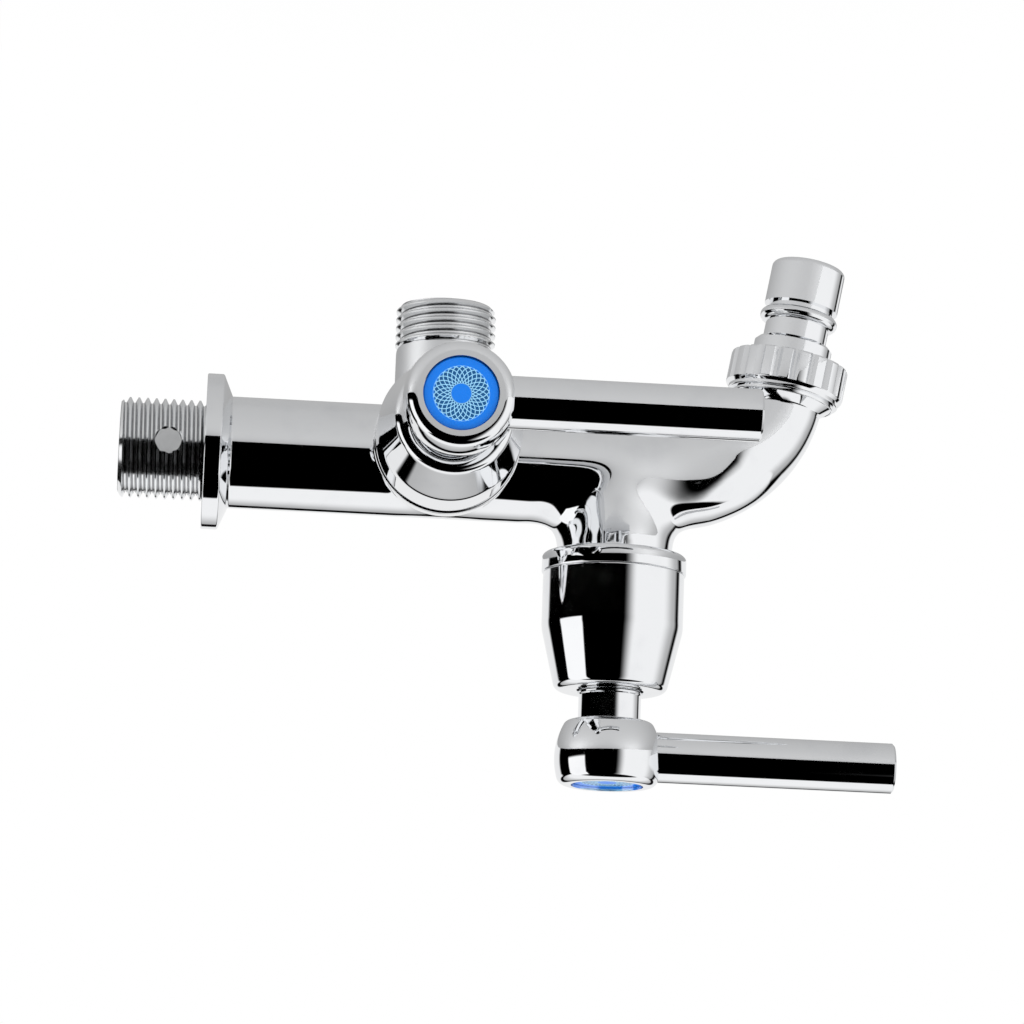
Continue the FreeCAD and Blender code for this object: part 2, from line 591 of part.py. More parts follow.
def make_tap_body():
    """The brass casting."""
    body = new_body("tap_body")
    revolve(body, "pipe", pipe_corners(), **ALONG_PIPE)
    plain_bend(body, "bend_start", "dims.pipe_dia / 2")
    revolve(body, "upper_boss", boss_corners(), **UP_TOP_VALVE)
    top_axis = FreeCAD.Vector(0, -size("dims.top_valve_reach"), 0)
    blend(body, "upper_boss_blend", "dims.upper_boss_blend", top_axis, 2 * size(BOSS_NECK))
    revolve(body, "lower_outlet", outlet_corners(), **DOWN_OUTLET)
    revolve(body, "side_boss", boss_corners(), **OUT_SIDE_VALVE)
    side_axis = FreeCAD.Vector(0, -size("dims.side_valve_reach"), 0)
    blend(body, "side_boss_blend", "dims.side_boss_blend", side_axis, 2 * size(BOSS_NECK))
    tapered_bend(body, "bend")
    revolve(body, "spout_end", spout_end_corners(), **ALONG_NOZZLE)
    main_bore = rod(
        "dims.inlet_bore_dia / 2",
        "-(dims.inlet_thread_length + dims.cut_margin)",
        "dims.top_valve_reach + dims.main_bore_overrun",
    )
    revolve(body, "main_bore", main_bore, cut=True, **ALONG_PIPE)
    revolve(body, "upper_chamber", chamber_corners(), cut=True, **UP_TOP_VALVE)
    revolve(body, "side_chamber", chamber_corners(), cut=True, **OUT_SIDE_VALVE)
    outlet_mouth = "dims.outlet_length + dims.cut_margin"
    outlet_bore = rod("dims.outlet_bore_dia / 2", OUTLET_BORE_TOP, outlet_mouth)
    revolve(body, "outlet_bore", outlet_bore, cut=True, **DOWN_OUTLET)
    plain_bend(body, "spout_bore_start", "dims.spout_bore_dia / 2", cut=True)
    tapered_bend(body, "spout_bore", bore="dims.spout_bore_dia / 2")
    mouth_end = "dims.spout_thread_length + dims.cut_margin"
    spout_mouth = rod("dims.spout_bore_dia / 2 + dims.loose_gap", "-dims.loose_gap", mouth_end)
    revolve(body, "spout_mouth", spout_mouth, cut=True, **ALONG_NOZZLE)
    slanted_passage(
        body,
        "side_passage",
        "XZ_Plane",
        (PASSAGE_START, "-dims.side_passage_start_drop"),
        ("dims.side_passage_end_x", f"-({OUTLET_BORE_TOP} + dims.side_passage_end_depth)"),
        "dims.side_valve_reach",
    )
    slanted_passage(
        body,
        "upper_passage",
        "YZ_Plane",
        ("-(dims.top_valve_reach + dims.top_passage_start_ahead)", PASSAGE_START),
        ("-(dims.top_valve_reach + dims.top_passage_end_ahead)", "dims.top_passage_end_height"),
        "0",
    )
    spot_floor = "dims.inlet_thread_dia / 2 - dims.spot_depth"
    spot = rod("dims.spot_dia / 2", spot_floor, "dims.inlet_thread_dia / 2 + dims.cut_margin")
    revolve(body, "thread_spot", spot, cut=True, **OUT_SPOT)


# Hose nozzle


def seat_on_nozzle(body):
    """Put a nozzle piece on the end of the spout."""
    turn = "90 + dims.spout_turn"
    body.Placement = FreeCAD.Placement(FreeCAD.Vector(), FreeCAD.Rotation(X_AXIS, size(turn)))
    body.setExpression("Placement.Base.y", f"-{SPOUT_END_AHEAD}")
    body.setExpression("Placement.Base.z", SPOUT_END_Z)
    body.setExpression("Placement.Rotation.Angle", turn)


def make_nozzle_washer():
    """Flat washer between the spout and the nipple."""
    body = new_body("nozzle_washer")
    corners = tube("dims.nipple_bore_dia / 2", FLANGE_RADIUS, "dims.spout_thread_length", WASHER_TOP)
    revolve(body, "ring", corners)
    seat_on_nozzle(body)


def make_hose_nipple():
    """Quick-connect nipple with its catch neck, ring and plain end."""
    body = new_body("hose_nipple")
    ring_top = f"({NIPPLE_NECK_TOP} + dims.nipple_ring_width)"
    groove_top = f"({ring_top} + dims.nipple_groove_width)"
    top = f"({groove_top} + dims.nipple_end_length)"
    bore = "dims.nipple_bore_dia / 2"
    end = "dims.nipple_end_dia / 2"
    ring_swell = "dims.nipple_ring_width / 2"
    corners = [
        (bore, WASHER_TOP),
        (FLANGE_RADIUS, WASHER_TOP),
        (FLANGE_RADIUS, FLANGE_TOP),
        ("dims.nipple_shoulder_dia / 2", FLANGE_TOP),
        ("dims.nipple_shoulder_dia / 2", f"{SHOULDER_TOP} - dims.nipple_shoulder_edge"),
        ("dims.nipple_shoulder_dia / 2 - dims.nipple_shoulder_edge", SHOULDER_TOP),
        ("dims.nipple_neck_dia / 2", SHOULDER_TOP),
        ("dims.nipple_neck_dia / 2", NIPPLE_NECK_TOP),
        (f"dims.nipple_ring_dia / 2 - {ring_swell}", NIPPLE_NECK_TOP, ring_swell, "left"),
        ("dims.nipple_ring_dia / 2", f"{NIPPLE_NECK_TOP} + {ring_swell}", ring_swell, "left"),
        (f"dims.nipple_ring_dia / 2 - {ring_swell}", ring_top),
        ("dims.nipple_groove_dia / 2", ring_top),
        ("dims.nipple_groove_dia / 2", groove_top),
        (end, groove_top),
        (end, f"{top} - dims.nipple_tip_round", "dims.nipple_tip_round", "left"),
        (f"{end} - dims.nipple_tip_round", top),
        (bore, top),
    ]
    revolve(body, "turning", corners)
    seat_on_nozzle(body)


def make_coupling_nut():
    """Ring nut with a smooth base, ribs and a lip over the nipple flange."""
    body = new_body("coupling_nut")
    thread = "dims.spout_thread_dia / 2 + dims.fitted_gap"
    rib_foot = "(dims.nut_base_height - dims.nut_base_start)"
    foot = "dims.spout_thread_dia / 2 + dims.nut_foot_wall"
    base = "dims.spout_thread_dia / 2 + dims.nut_base_wall"
    foot_top = "dims.nut_foot_height - dims.nut_base_start"
    base_top = f"{rib_foot} - ({NUT_RADIUS} - ({base}))"
    corners = [
        (thread, "-dims.nut_base_start"),
        (foot, "-dims.nut_base_start"),
        (foot, foot_top),
        (base, foot_top),
        (base, base_top),
        (NUT_RADIUS, rib_foot),
        (NUT_RADIUS, f"{NUT_TOP} - dims.nut_top_chamfer"),
        (f"{NUT_RADIUS} - dims.nut_top_chamfer", NUT_TOP),
        ("dims.nipple_shoulder_dia / 2 + dims.fitted_gap", NUT_TOP),
        ("dims.nipple_shoulder_dia / 2 + dims.fitted_gap", FLANGE_TOP),
        (thread, FLANGE_TOP),
    ]
    revolve(body, "ring", corners)
    floor = f"{NUT_RADIUS} - dims.nut_groove_depth"
    past = f"{NUT_RADIUS} + dims.cut_margin"
    half = "dims.nut_groove_width / 2"
    groove_corners = [
        (floor, f"-{half} / 2"),
        (past, f"-{half} * (1 + dims.cut_margin / dims.nut_groove_depth / 2)"),
        (past, f"{half} * (1 + dims.cut_margin / dims.nut_groove_depth / 2)"),
        (floor, f"{half} / 2"),
    ]
    groove = extrude(body, "groove", groove_corners, rib_foot, f"{NUT_TOP} + dims.cut_margin", cut=True)
    polar_pattern(body, "ribs", groove, "dims.nut_rib_count")
    seat_on_nozzle(body)


# Valves, made alike and seated on their bosses

ALONG_LEVER = {"role": "YZ_Plane", "base": ("0", LEVER_HEIGHT, "0"), "turn": "90"}


def seat_on_top(body):
    """Put a valve piece on the upper boss."""
    body.setExpression("Placement.Base.y", "-dims.top_valve_reach")


def seat_on_side(body):
    """Put a valve piece on the side boss, with its lever still pointing ahead."""
    body.Placement = FreeCAD.Placement(FreeCAD.Vector(), FreeCAD.Rotation(Y_AXIS, 90))
    body.setExpression("Placement.Base.y", "-dims.side_valve_reach")


def make_bell_cover(label):
    """Bell-shaped shroud, screwed on the spigot of the boss."""
    body = new_body(label)
    thread = f"{SPIGOT_RADIUS} + dims.fitted_gap"
    edge_foot = f"({BELL_TOP} - dims.bell_edge_round * (1 - sin(dims.bell_taper)))"
    edge = f"({BELL_RADIUS} - ({edge_foot} - {BELL_STRAIGHT_TOP}) * tan(dims.bell_taper))"
    shoulder = "(dims.bell_shoulder_round * tan(dims.bell_taper / 2))"
    shoulder_edge = f"{BELL_RADIUS} - {shoulder} * sin(dims.bell_taper)"
    shoulder_top = f"{BELL_STRAIGHT_TOP} + {shoulder} * cos(dims.bell_taper)"
    inside = f"{BELL_RADIUS} - dims.bell_wall"
    cavity_top = f"{BELL_TOP} - dims.bell_top_thickness"
    opening = "dims.neck_dia / 2 + dims.bell_neck_gap"
    corners = [
        (thread, BOSS_FACE),
        (BELL_RADIUS, BOSS_FACE),
        (BELL_RADIUS, f"{BELL_STRAIGHT_TOP} - {shoulder}", "dims.bell_shoulder_round", "left"),
        (shoulder_edge, shoulder_top),
        (edge, edge_foot, "dims.bell_edge_round", "left"),
        (f"{edge} - dims.bell_edge_round * cos(dims.bell_taper)", BELL_TOP),
        (opening, BELL_TOP),
        (opening, cavity_top),
        (f"{edge} - dims.bell_wall", cavity_top),
        (inside, BELL_STRAIGHT_TOP),
        (inside, SPIGOT_TOP),
        (thread, SPIGOT_TOP),
    ]
    revolve(body, "shell", corners)
    return body


def make_cartridge_seal(label):
    """Flat washer between the spigot and the hexagon."""
    body = new_body(label)
    outer = f"{SPIGOT_RADIUS} - dims.seal_margin"
    revolve(body, "ring", tube(CHAMBER_RADIUS, outer, SPIGOT_TOP, HEXAGON_FOOT))
    return body


def make_cartridge_body(label):
    """Headwork: windowed barrel, thread, hexagon and spindle guide."""
    body = new_body(label)
    bore = "dims.spindle_dia / 2 + dims.running_gap"
    thread = f"{CHAMBER_RADIUS} - dims.fitted_gap"
    thread_foot = f"{SPIGOT_TOP} - dims.cartridge_thread_length"
    ceiling = f"{DRIVER_TOP} + dims.running_gap"
    corners = [
        ("dims.disc_bore_dia / 2", BARREL_FOOT),
        (BARREL_RADIUS, BARREL_FOOT),
        (BARREL_RADIUS, thread_foot),
        (thread, thread_foot),
        (thread, HEXAGON_TOP),
        ("dims.guide_dia / 2", HEXAGON_TOP),
        ("dims.guide_dia / 2", GUIDE_TOP),
        (bore, GUIDE_TOP),
        (bore, ceiling),
        ("dims.disc_bore_dia / 2", ceiling),
    ]
    revolve(body, "turning", corners)
    hexagon = regular_polygon("dims.hexagon_flats", HEXAGON_CORNERS)
    extrude(body, "hexagon", hexagon, HEXAGON_FOOT, HEXAGON_TOP)
    guide_bore = rod(bore, DRIVER_TOP, f"{GUIDE_TOP} + dims.cut_margin")
    revolve(body, "guide_bore", guide_bore, cut=True)
    window_foot = MOVING_DISC_FOOT
    window = rectangle("dims.window_width / 2", f"{BARREL_RADIUS} + dims.cut_margin")
    extrude(body, "windows", window, window_foot, f"{window_foot} + dims.window_height", cut=True)
    return body


def make_seat_gasket(label):
    """Rubber ring between the seat and the fixed disc."""
    body = new_body(label)
    outer = "dims.disc_bore_dia / 2 - dims.fitted_gap"
    revolve(body, "ring", tube("dims.gasket_bore_dia / 2", outer, "dims.seat_height", FIXED_DISC_FOOT))
    return body


def make_fixed_disc(label):
    """Ceramic disc with two ports, held in the barrel."""
    body = new_body(label)
    outer = "dims.disc_bore_dia / 2 - dims.fitted_gap"
    revolve(body, "disc", rod(outer, FIXED_DISC_FOOT, MOVING_DISC_FOOT))
    corners = sector("dims.port_inner_dia / 2", "dims.port_outer_dia / 2", "dims.port_half_angle")
    port = extrude(
        body,
        "port",
        corners,
        f"{FIXED_DISC_FOOT} - dims.cut_margin",
        f"{MOVING_DISC_FOOT} + dims.cut_margin",
        cut=True,
    )
    polar_pattern(body, "ports", port, str(PORTS))
    return body


def bow_tie(body, foot, top):
    """Cut two opposite sectors out of a disc, so that two wings are left."""
    outer = "dims.disc_bore_dia / 2 + dims.cut_margin"
    corners = sector("dims.port_inner_dia / 2", outer, "dims.port_half_angle")
    opening = extrude(body, "opening", corners, foot, top, cut=True, turn="90")
    return polar_pattern(body, "openings", opening, str(PORTS))


def make_moving_disc(label):
    """Ceramic bow-tie disc that the spindle turns."""
    body = new_body(label)
    outer = "dims.disc_bore_dia / 2 - dims.loose_gap"
    revolve(body, "disc", rod(outer, MOVING_DISC_FOOT, DRIVER_FOOT))
    bow_tie(body, f"{MOVING_DISC_FOOT} - dims.cut_margin", f"{DRIVER_FOOT} + dims.cut_margin")
    slot = rectangle("dims.disc_bore_dia", "dims.driver_tongue_width / 2 + dims.fitted_gap")
    slot_foot = f"{DRIVER_FOOT} - dims.driver_tongue_depth"
    extrude(body, "slot", slot, slot_foot, f"{DRIVER_FOOT} + dims.cut_margin", cut=True)
    return body


def make_spindle(label):
    """Spindle with its bow-tie driver, seal groove, clip groove, square end and tapped hole."""
    body = new_body(label)
    shaft = "dims.spindle_dia / 2"
    driver = "dims.disc_bore_dia / 2 - dims.loose_gap"
    clip_floor = f"{shaft} - dims.clip_depth"
    corners = [
        ("0", DRIVER_FOOT),
        (driver, DRIVER_FOOT),
        (driver, DRIVER_TOP),
        (shaft, DRIVER_TOP),
        (shaft, ORING_FOOT),
        (f"{shaft} - dims.oring_depth", ORING_FOOT),
        (f"{shaft} - dims.oring_depth", ORING_TOP),
        (shaft, ORING_TOP),
        (shaft, CLIP_FOOT),
        (clip_floor, CLIP_FOOT),
        (clip_floor, CLIP_TOP),
        (shaft, CLIP_TOP),
        (shaft, NECK_FOOT),
        ("0", NECK_FOOT),
    ]
    revolve(body, "turning", corners)
    bow_tie(body, f"{DRIVER_FOOT} - dims.cut_margin", DRIVER_TOP)
    square = regular_polygon("dims.drive_flats", SQUARE_CORNERS)
    extrude(body, "square_end", square, NECK_FOOT, DRIVE_TOP)
    tongue_foot = f"{DRIVER_FOOT} - dims.driver_tongue_depth"
    tongue_reach = f"({driver}) * cos(dims.port_half_angle / 2) - dims.driver_tongue_width"
    tongue = rectangle(tongue_reach, "dims.driver_tongue_width / 2")
    extrude(body, "tongue", tongue, tongue_foot, DRIVER_FOOT)
    tapped = rod(
        "dims.screw_dia / 2 + dims.fitted_gap",
        f"{SCREW_SEAT} - dims.screw_length - dims.cut_margin",
        f"{DRIVE_TOP} + dims.cut_margin",
    )
    revolve(body, "tapped_hole", tapped, cut=True)
    return body


def make_spindle_oring(label):
    """Seal ring in the spindle's groove."""
    body = new_body(label)
    inner = "dims.spindle_dia / 2 - dims.oring_depth"
    outer = "dims.spindle_dia / 2"
    corners = [
        (inner, f"{ORING_FOOT} + dims.oring_corner"),
        (f"{inner} + dims.oring_corner", ORING_FOOT),
        (f"{outer} - dims.oring_corner", ORING_FOOT),
        (outer, f"{ORING_FOOT} + dims.oring_corner"),
        (outer, f"{ORING_TOP} - dims.oring_corner"),
        (f"{outer} - dims.oring_corner", ORING_TOP),
        (f"{inner} + dims.oring_corner", ORING_TOP),
        (inner, f"{ORING_TOP} - dims.oring_corner"),
    ]
    revolve(body, "ring", corners)
    return body


def make_spindle_clip(label):
    """Open retaining ring that rests on the guide."""
    body = new_body(label)
    inner = "dims.spindle_dia / 2 - dims.clip_depth"
    revolve(body, "ring", tube(inner, CLIP_RADIUS, CLIP_FOOT, CLIP_TOP))
    half = "dims.clip_opening / 2"
    past = f"{CLIP_RADIUS} + dims.cut_margin"
    mouth = [(f"-{half}", "0"), (half, "0"), (half, past), (f"-{half}", past)]
    extrude(
        body, "mouth", mouth, f"{CLIP_FOOT} - dims.cut_margin", f"{CLIP_TOP} + dims.cut_margin", cut=True
    )
    return body


def make_handle_hub(label):
    """Barrel-shaped hub with its neck, square socket, screw well, cap recess and lever seat."""
    body = new_body(label)
    neck = "dims.neck_dia / 2"
    bead = f"{neck} + dims.neck_bead_rise"
    bead_foot = f"({BELL_TOP} + dims.neck_bead_gap - dims.neck_bead_width / 2)"
    bead_top = f"({bead_foot} + dims.neck_bead_width)"
    bulge = "dims.hub_bulge_radius"
    bulge_axis = f"(dims.hub_dia / 2 - {bulge})"
    middle = f"({HUB_FOOT} + dims.hub_bulge_rise)"
    foot_lean = f"asin(({middle} - {HUB_FOOT} - dims.hub_foot_round) / ({bulge} - dims.hub_foot_round))"
    rim_lean = f"asin(({HUB_TOP} - {middle} - dims.hub_rim_round) / ({bulge} - dims.hub_rim_round))"
    foot_start = f"{bulge_axis} + ({bulge} - dims.hub_foot_round) * cos({foot_lean})"
    foot_edge = f"{bulge_axis} + {bulge} * cos({foot_lean})"
    rim_edge = f"{bulge_axis} + {bulge} * cos({rim_lean})"
    rim_end = f"{bulge_axis} + ({bulge} - dims.hub_rim_round) * cos({rim_lean})"
    cap_wall = f"{CAP_RADIUS} + dims.fitted_gap"
    corners = [
        ("0", NECK_FOOT),
        (neck, NECK_FOOT),
        (neck, bead_foot),
        (bead, f"{bead_foot} + dims.neck_bead_rise"),
        (bead, f"{bead_top} - dims.neck_bead_rise"),
        (neck, bead_top),
        (neck, HUB_FOOT),
        (foot_start, HUB_FOOT, "dims.hub_foot_round", "left"),
        (foot_edge, f"{middle} - {bulge} * sin({foot_lean})", bulge, "left"),
        ("dims.hub_dia / 2", middle, bulge, "left"),
        (rim_edge, f"{middle} + {bulge} * sin({rim_lean})", "dims.hub_rim_round", "left"),
        (rim_end, HUB_TOP),
        (cap_wall, HUB_TOP),
        (cap_wall, CAP_SEAT),
        ("dims.screw_head_dia / 2 + dims.loose_gap", CAP_SEAT),
        ("dims.screw_head_dia / 2 + dims.loose_gap", SCREW_SEAT),
        ("0", SCREW_SEAT),
    ]
    revolve(body, "turning", corners)
    socket = regular_polygon("dims.drive_flats + 2 * dims.fitted_gap", SQUARE_CORNERS)
    socket_foot = f"{NECK_FOOT} - dims.cut_margin"
    extrude(body, "socket", socket, socket_foot, f"{DRIVE_TOP} + dims.fitted_gap", cut=True)
    screw_hole_wall = "dims.screw_dia / 2 + dims.fitted_gap"
    screw_hole = rod(screw_hole_wall, DRIVE_TOP, f"{SCREW_SEAT} + dims.cut_margin")
    revolve(body, "screw_hole", screw_hole, cut=True)
    stud_floor = f"{LEVER_SEAT} - dims.lever_stud_length"
    stud_wall = "dims.lever_stud_dia / 2 + dims.fitted_gap"
    bar_wall = "dims.lever_dia / 2 + dims.fitted_gap"
    lever_seat = [
        ("0", stud_floor),
        (stud_wall, stud_floor),
        (stud_wall, LEVER_SEAT),
        (bar_wall, LEVER_SEAT),
        (bar_wall, "dims.hub_dia"),
        ("0", "dims.hub_dia"),
    ]
    revolve(body, "lever_seat", lever_seat, cut=True, **ALONG_LEVER)
    return body


def make_lever_rod(label):
    """Round lever bar with the stud that screws into the hub."""
    body = new_body(label)
    bar = "dims.lever_dia / 2"
    stud = "dims.lever_stud_dia / 2"
    stud_tip = f"{LEVER_SEAT} - dims.lever_stud_length"
    corners = [
        ("0", stud_tip),
        (stud, stud_tip),
        (stud, LEVER_SEAT),
        (bar, LEVER_SEAT),
        (bar, "dims.lever_reach - dims.lever_edge"),
        (f"{bar} - dims.lever_edge", "dims.lever_reach"),
        ("0", "dims.lever_reach"),
    ]
    revolve(body, "bar", corners, **ALONG_LEVER)
    return body


def make_handle_screw(label):
    """Slotted screw that holds the hub on the spindle."""
    body = new_body(label)
    shank_foot = f"{SCREW_SEAT} - dims.screw_length"
    top = f"{SCREW_SEAT} + dims.screw_head_height"
    shank = "dims.screw_dia / 2"
    head = "dims.screw_head_dia / 2"
    corners = [
        ("0", shank_foot),
        (shank, shank_foot),
        (shank, SCREW_SEAT),
        (head, SCREW_SEAT),
        (head, top),
        ("0", top),
    ]
    revolve(body, "turning", corners)
    slot = rectangle("dims.screw_slot_width / 2", "dims.screw_head_dia")
    extrude(body, "slot", slot, f"{top} - dims.screw_slot_depth", f"{top} + dims.cut_margin", cut=True)
    return body


def make_index_cap(label):
    """Round blue cap pressed into the hub."""
    body = new_body(label)
    top = f"{CAP_SEAT} + dims.cap_thickness"
    corners = [
        ("0", CAP_SEAT),
        (CAP_RADIUS, CAP_SEAT),
        (CAP_RADIUS, f"{top} - dims.cap_edge"),
        (f"{CAP_RADIUS} - dims.cap_edge", top),
        ("0", top),
    ]
    revolve(body, "disc", corners)
    return body


VALVE_PIECES = {
    "bell_cover": make_bell_cover,
    "cartridge_seal": make_cartridge_seal,
    "cartridge_body": make_cartridge_body,
    "seat_gasket": make_seat_gasket,
    "fixed_disc": make_fixed_disc,
    "moving_disc": make_moving_disc,
    "spindle": make_spindle,
    "spindle_oring": make_spindle_oring,
    "spindle_clip": make_spindle_clip,
    "handle_hub": make_handle_hub,
    "lever_rod": make_lever_rod,
    "handle_screw": make_handle_screw,
    "index_cap": make_index_cap,
}


def check_document():
    """Stop before writing if any object failed or any piece has no sound solid."""
    doc.recompute()
    for item in doc.Objects:
        if "Invalid" in item.State or "Error" in item.State:
            raise RuntimeError(f"{item.Label} failed: {item.State}")
    for body in bodies:
        if body.Shape.isNull() or not body.Shape.isValid() or len(body.Shape.Solids) != 1:
            raise RuntimeError(f"{body.Label} is not one sound solid")


def write_parts():
    """Write each piece to its own file."""
    os.makedirs("parts", exist_ok=True)
    for body in bodies:
        body.Shape.exportStep(f"parts/{body.Label}.step")
        print(f"{body.Label}: {body.Shape.Volume:.1f} cubic millimetres")


make_tap_body()
make_nozzle_washer()
make_hose_nipple()
make_coupling_nut()
for prefix, seat in (("side", seat_on_side), ("top", seat_on_top)):
    for piece, make in VALVE_PIECES.items():
        seat(make(f"{prefix}_{piece}"))
check_document()
write_parts()
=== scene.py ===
"""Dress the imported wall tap: chrome, cut threads, blue caps and a plain white studio."""

import json
import logging
import math
from contextlib import contextmanager
from dataclasses import dataclass
from enum import Enum
from typing import Iterator, NamedTuple, Optional, Sequence, Union

import bmesh
import bpy
from mathutils import Matrix, Vector

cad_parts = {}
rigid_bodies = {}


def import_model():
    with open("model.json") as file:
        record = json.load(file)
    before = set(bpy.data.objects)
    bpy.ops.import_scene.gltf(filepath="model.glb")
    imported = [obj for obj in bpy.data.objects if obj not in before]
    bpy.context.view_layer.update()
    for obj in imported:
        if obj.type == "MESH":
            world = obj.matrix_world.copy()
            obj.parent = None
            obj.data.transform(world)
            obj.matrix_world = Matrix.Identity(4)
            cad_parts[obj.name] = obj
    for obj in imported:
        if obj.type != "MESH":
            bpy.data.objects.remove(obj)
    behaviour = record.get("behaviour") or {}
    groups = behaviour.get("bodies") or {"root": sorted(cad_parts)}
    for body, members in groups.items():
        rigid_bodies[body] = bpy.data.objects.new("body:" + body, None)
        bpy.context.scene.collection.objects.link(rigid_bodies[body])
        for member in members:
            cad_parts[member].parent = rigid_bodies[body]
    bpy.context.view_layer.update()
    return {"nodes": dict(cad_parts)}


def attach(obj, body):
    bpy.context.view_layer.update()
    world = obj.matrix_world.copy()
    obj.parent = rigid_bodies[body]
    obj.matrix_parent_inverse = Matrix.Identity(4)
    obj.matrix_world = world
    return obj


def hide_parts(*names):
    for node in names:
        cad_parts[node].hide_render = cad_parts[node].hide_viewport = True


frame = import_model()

Colour = tuple[float, float, float, float]
Triple = tuple[float, float, float]
Span = tuple[float, float]

LOG = logging.getLogger("tap")
MM = 0.001
FULL_TURN = 2 * math.pi
WHITE: Colour = (1.0, 1.0, 1.0, 1.0)

# Sizes that several pieces share, in millimetres
THREAD_RADIUS = 10.4775
THREAD_DEPTH = 1.162
BORE_RADIUS = 7.0
SIDE_REACH = 49.4
TOP_REACH = 86.6


class Signal:
    """A number on a shader socket; arithmetic on it adds Math nodes."""

    def __init__(self, board: "NodeBoard", socket: bpy.types.NodeSocket) -> None:
        """Keep the socket and the board that holds it."""
        self.board = board
        self.socket = socket

    def __add__(self, other: "Number") -> "Signal":
        """Add a number or signal."""
        return self.board.math("ADD", self, other)

    def __radd__(self, other: "Number") -> "Signal":
        """Add this signal to a number."""
        return self.board.math("ADD", other, self)

    def __sub__(self, other: "Number") -> "Signal":
        """Take a number or signal away."""
        return self.board.math("SUBTRACT", self, other)

    def __rsub__(self, other: "Number") -> "Signal":
        """Take this signal away from a number."""
        return self.board.math("SUBTRACT", other, self)

    def __mul__(self, other: "Number") -> "Signal":
        """Multiply by a number or signal."""
        return self.board.math("MULTIPLY", self, other)

    def __rmul__(self, other: "Number") -> "Signal":
        """Multiply a number by this signal."""
        return self.board.math("MULTIPLY", other, self)

    def __truediv__(self, other: "Number") -> "Signal":
        """Divide by a number or signal."""
        return self.board.math("DIVIDE", self, other)

    def __abs__(self) -> "Signal":
        """Drop the sign."""
        return self.board.math("ABSOLUTE", self)

    def between(self, low: float, high: float) -> "Signal":
        """Clamp the signal to a range."""
        return self.board.math("MAXIMUM", low, self.board.math("MINIMUM", self, high))

    def rise(self, low: float, high: float) -> "Signal":
        """Step smoothly from 0 at low to 1 at high."""
        settings = {"interpolation_type": "SMOOTHSTEP"}
        inputs = {"Value": self, "From Min": low, "From Max": high}
        return self.board.signal(self.board.node("ShaderNodeMapRange", settings, inputs), "Result")

    def window(self, low: float, high: float, soft: float) -> "Signal":
        """Be 1 between low and high, with edges as wide as soft on each side."""
        return self.rise(low - soft, low + soft) * (1 - self.rise(high - soft, high + soft))


Number = Union[float, Signal]
Feed = Union[float, Sequence[float], Signal, bpy.types.NodeSocket]


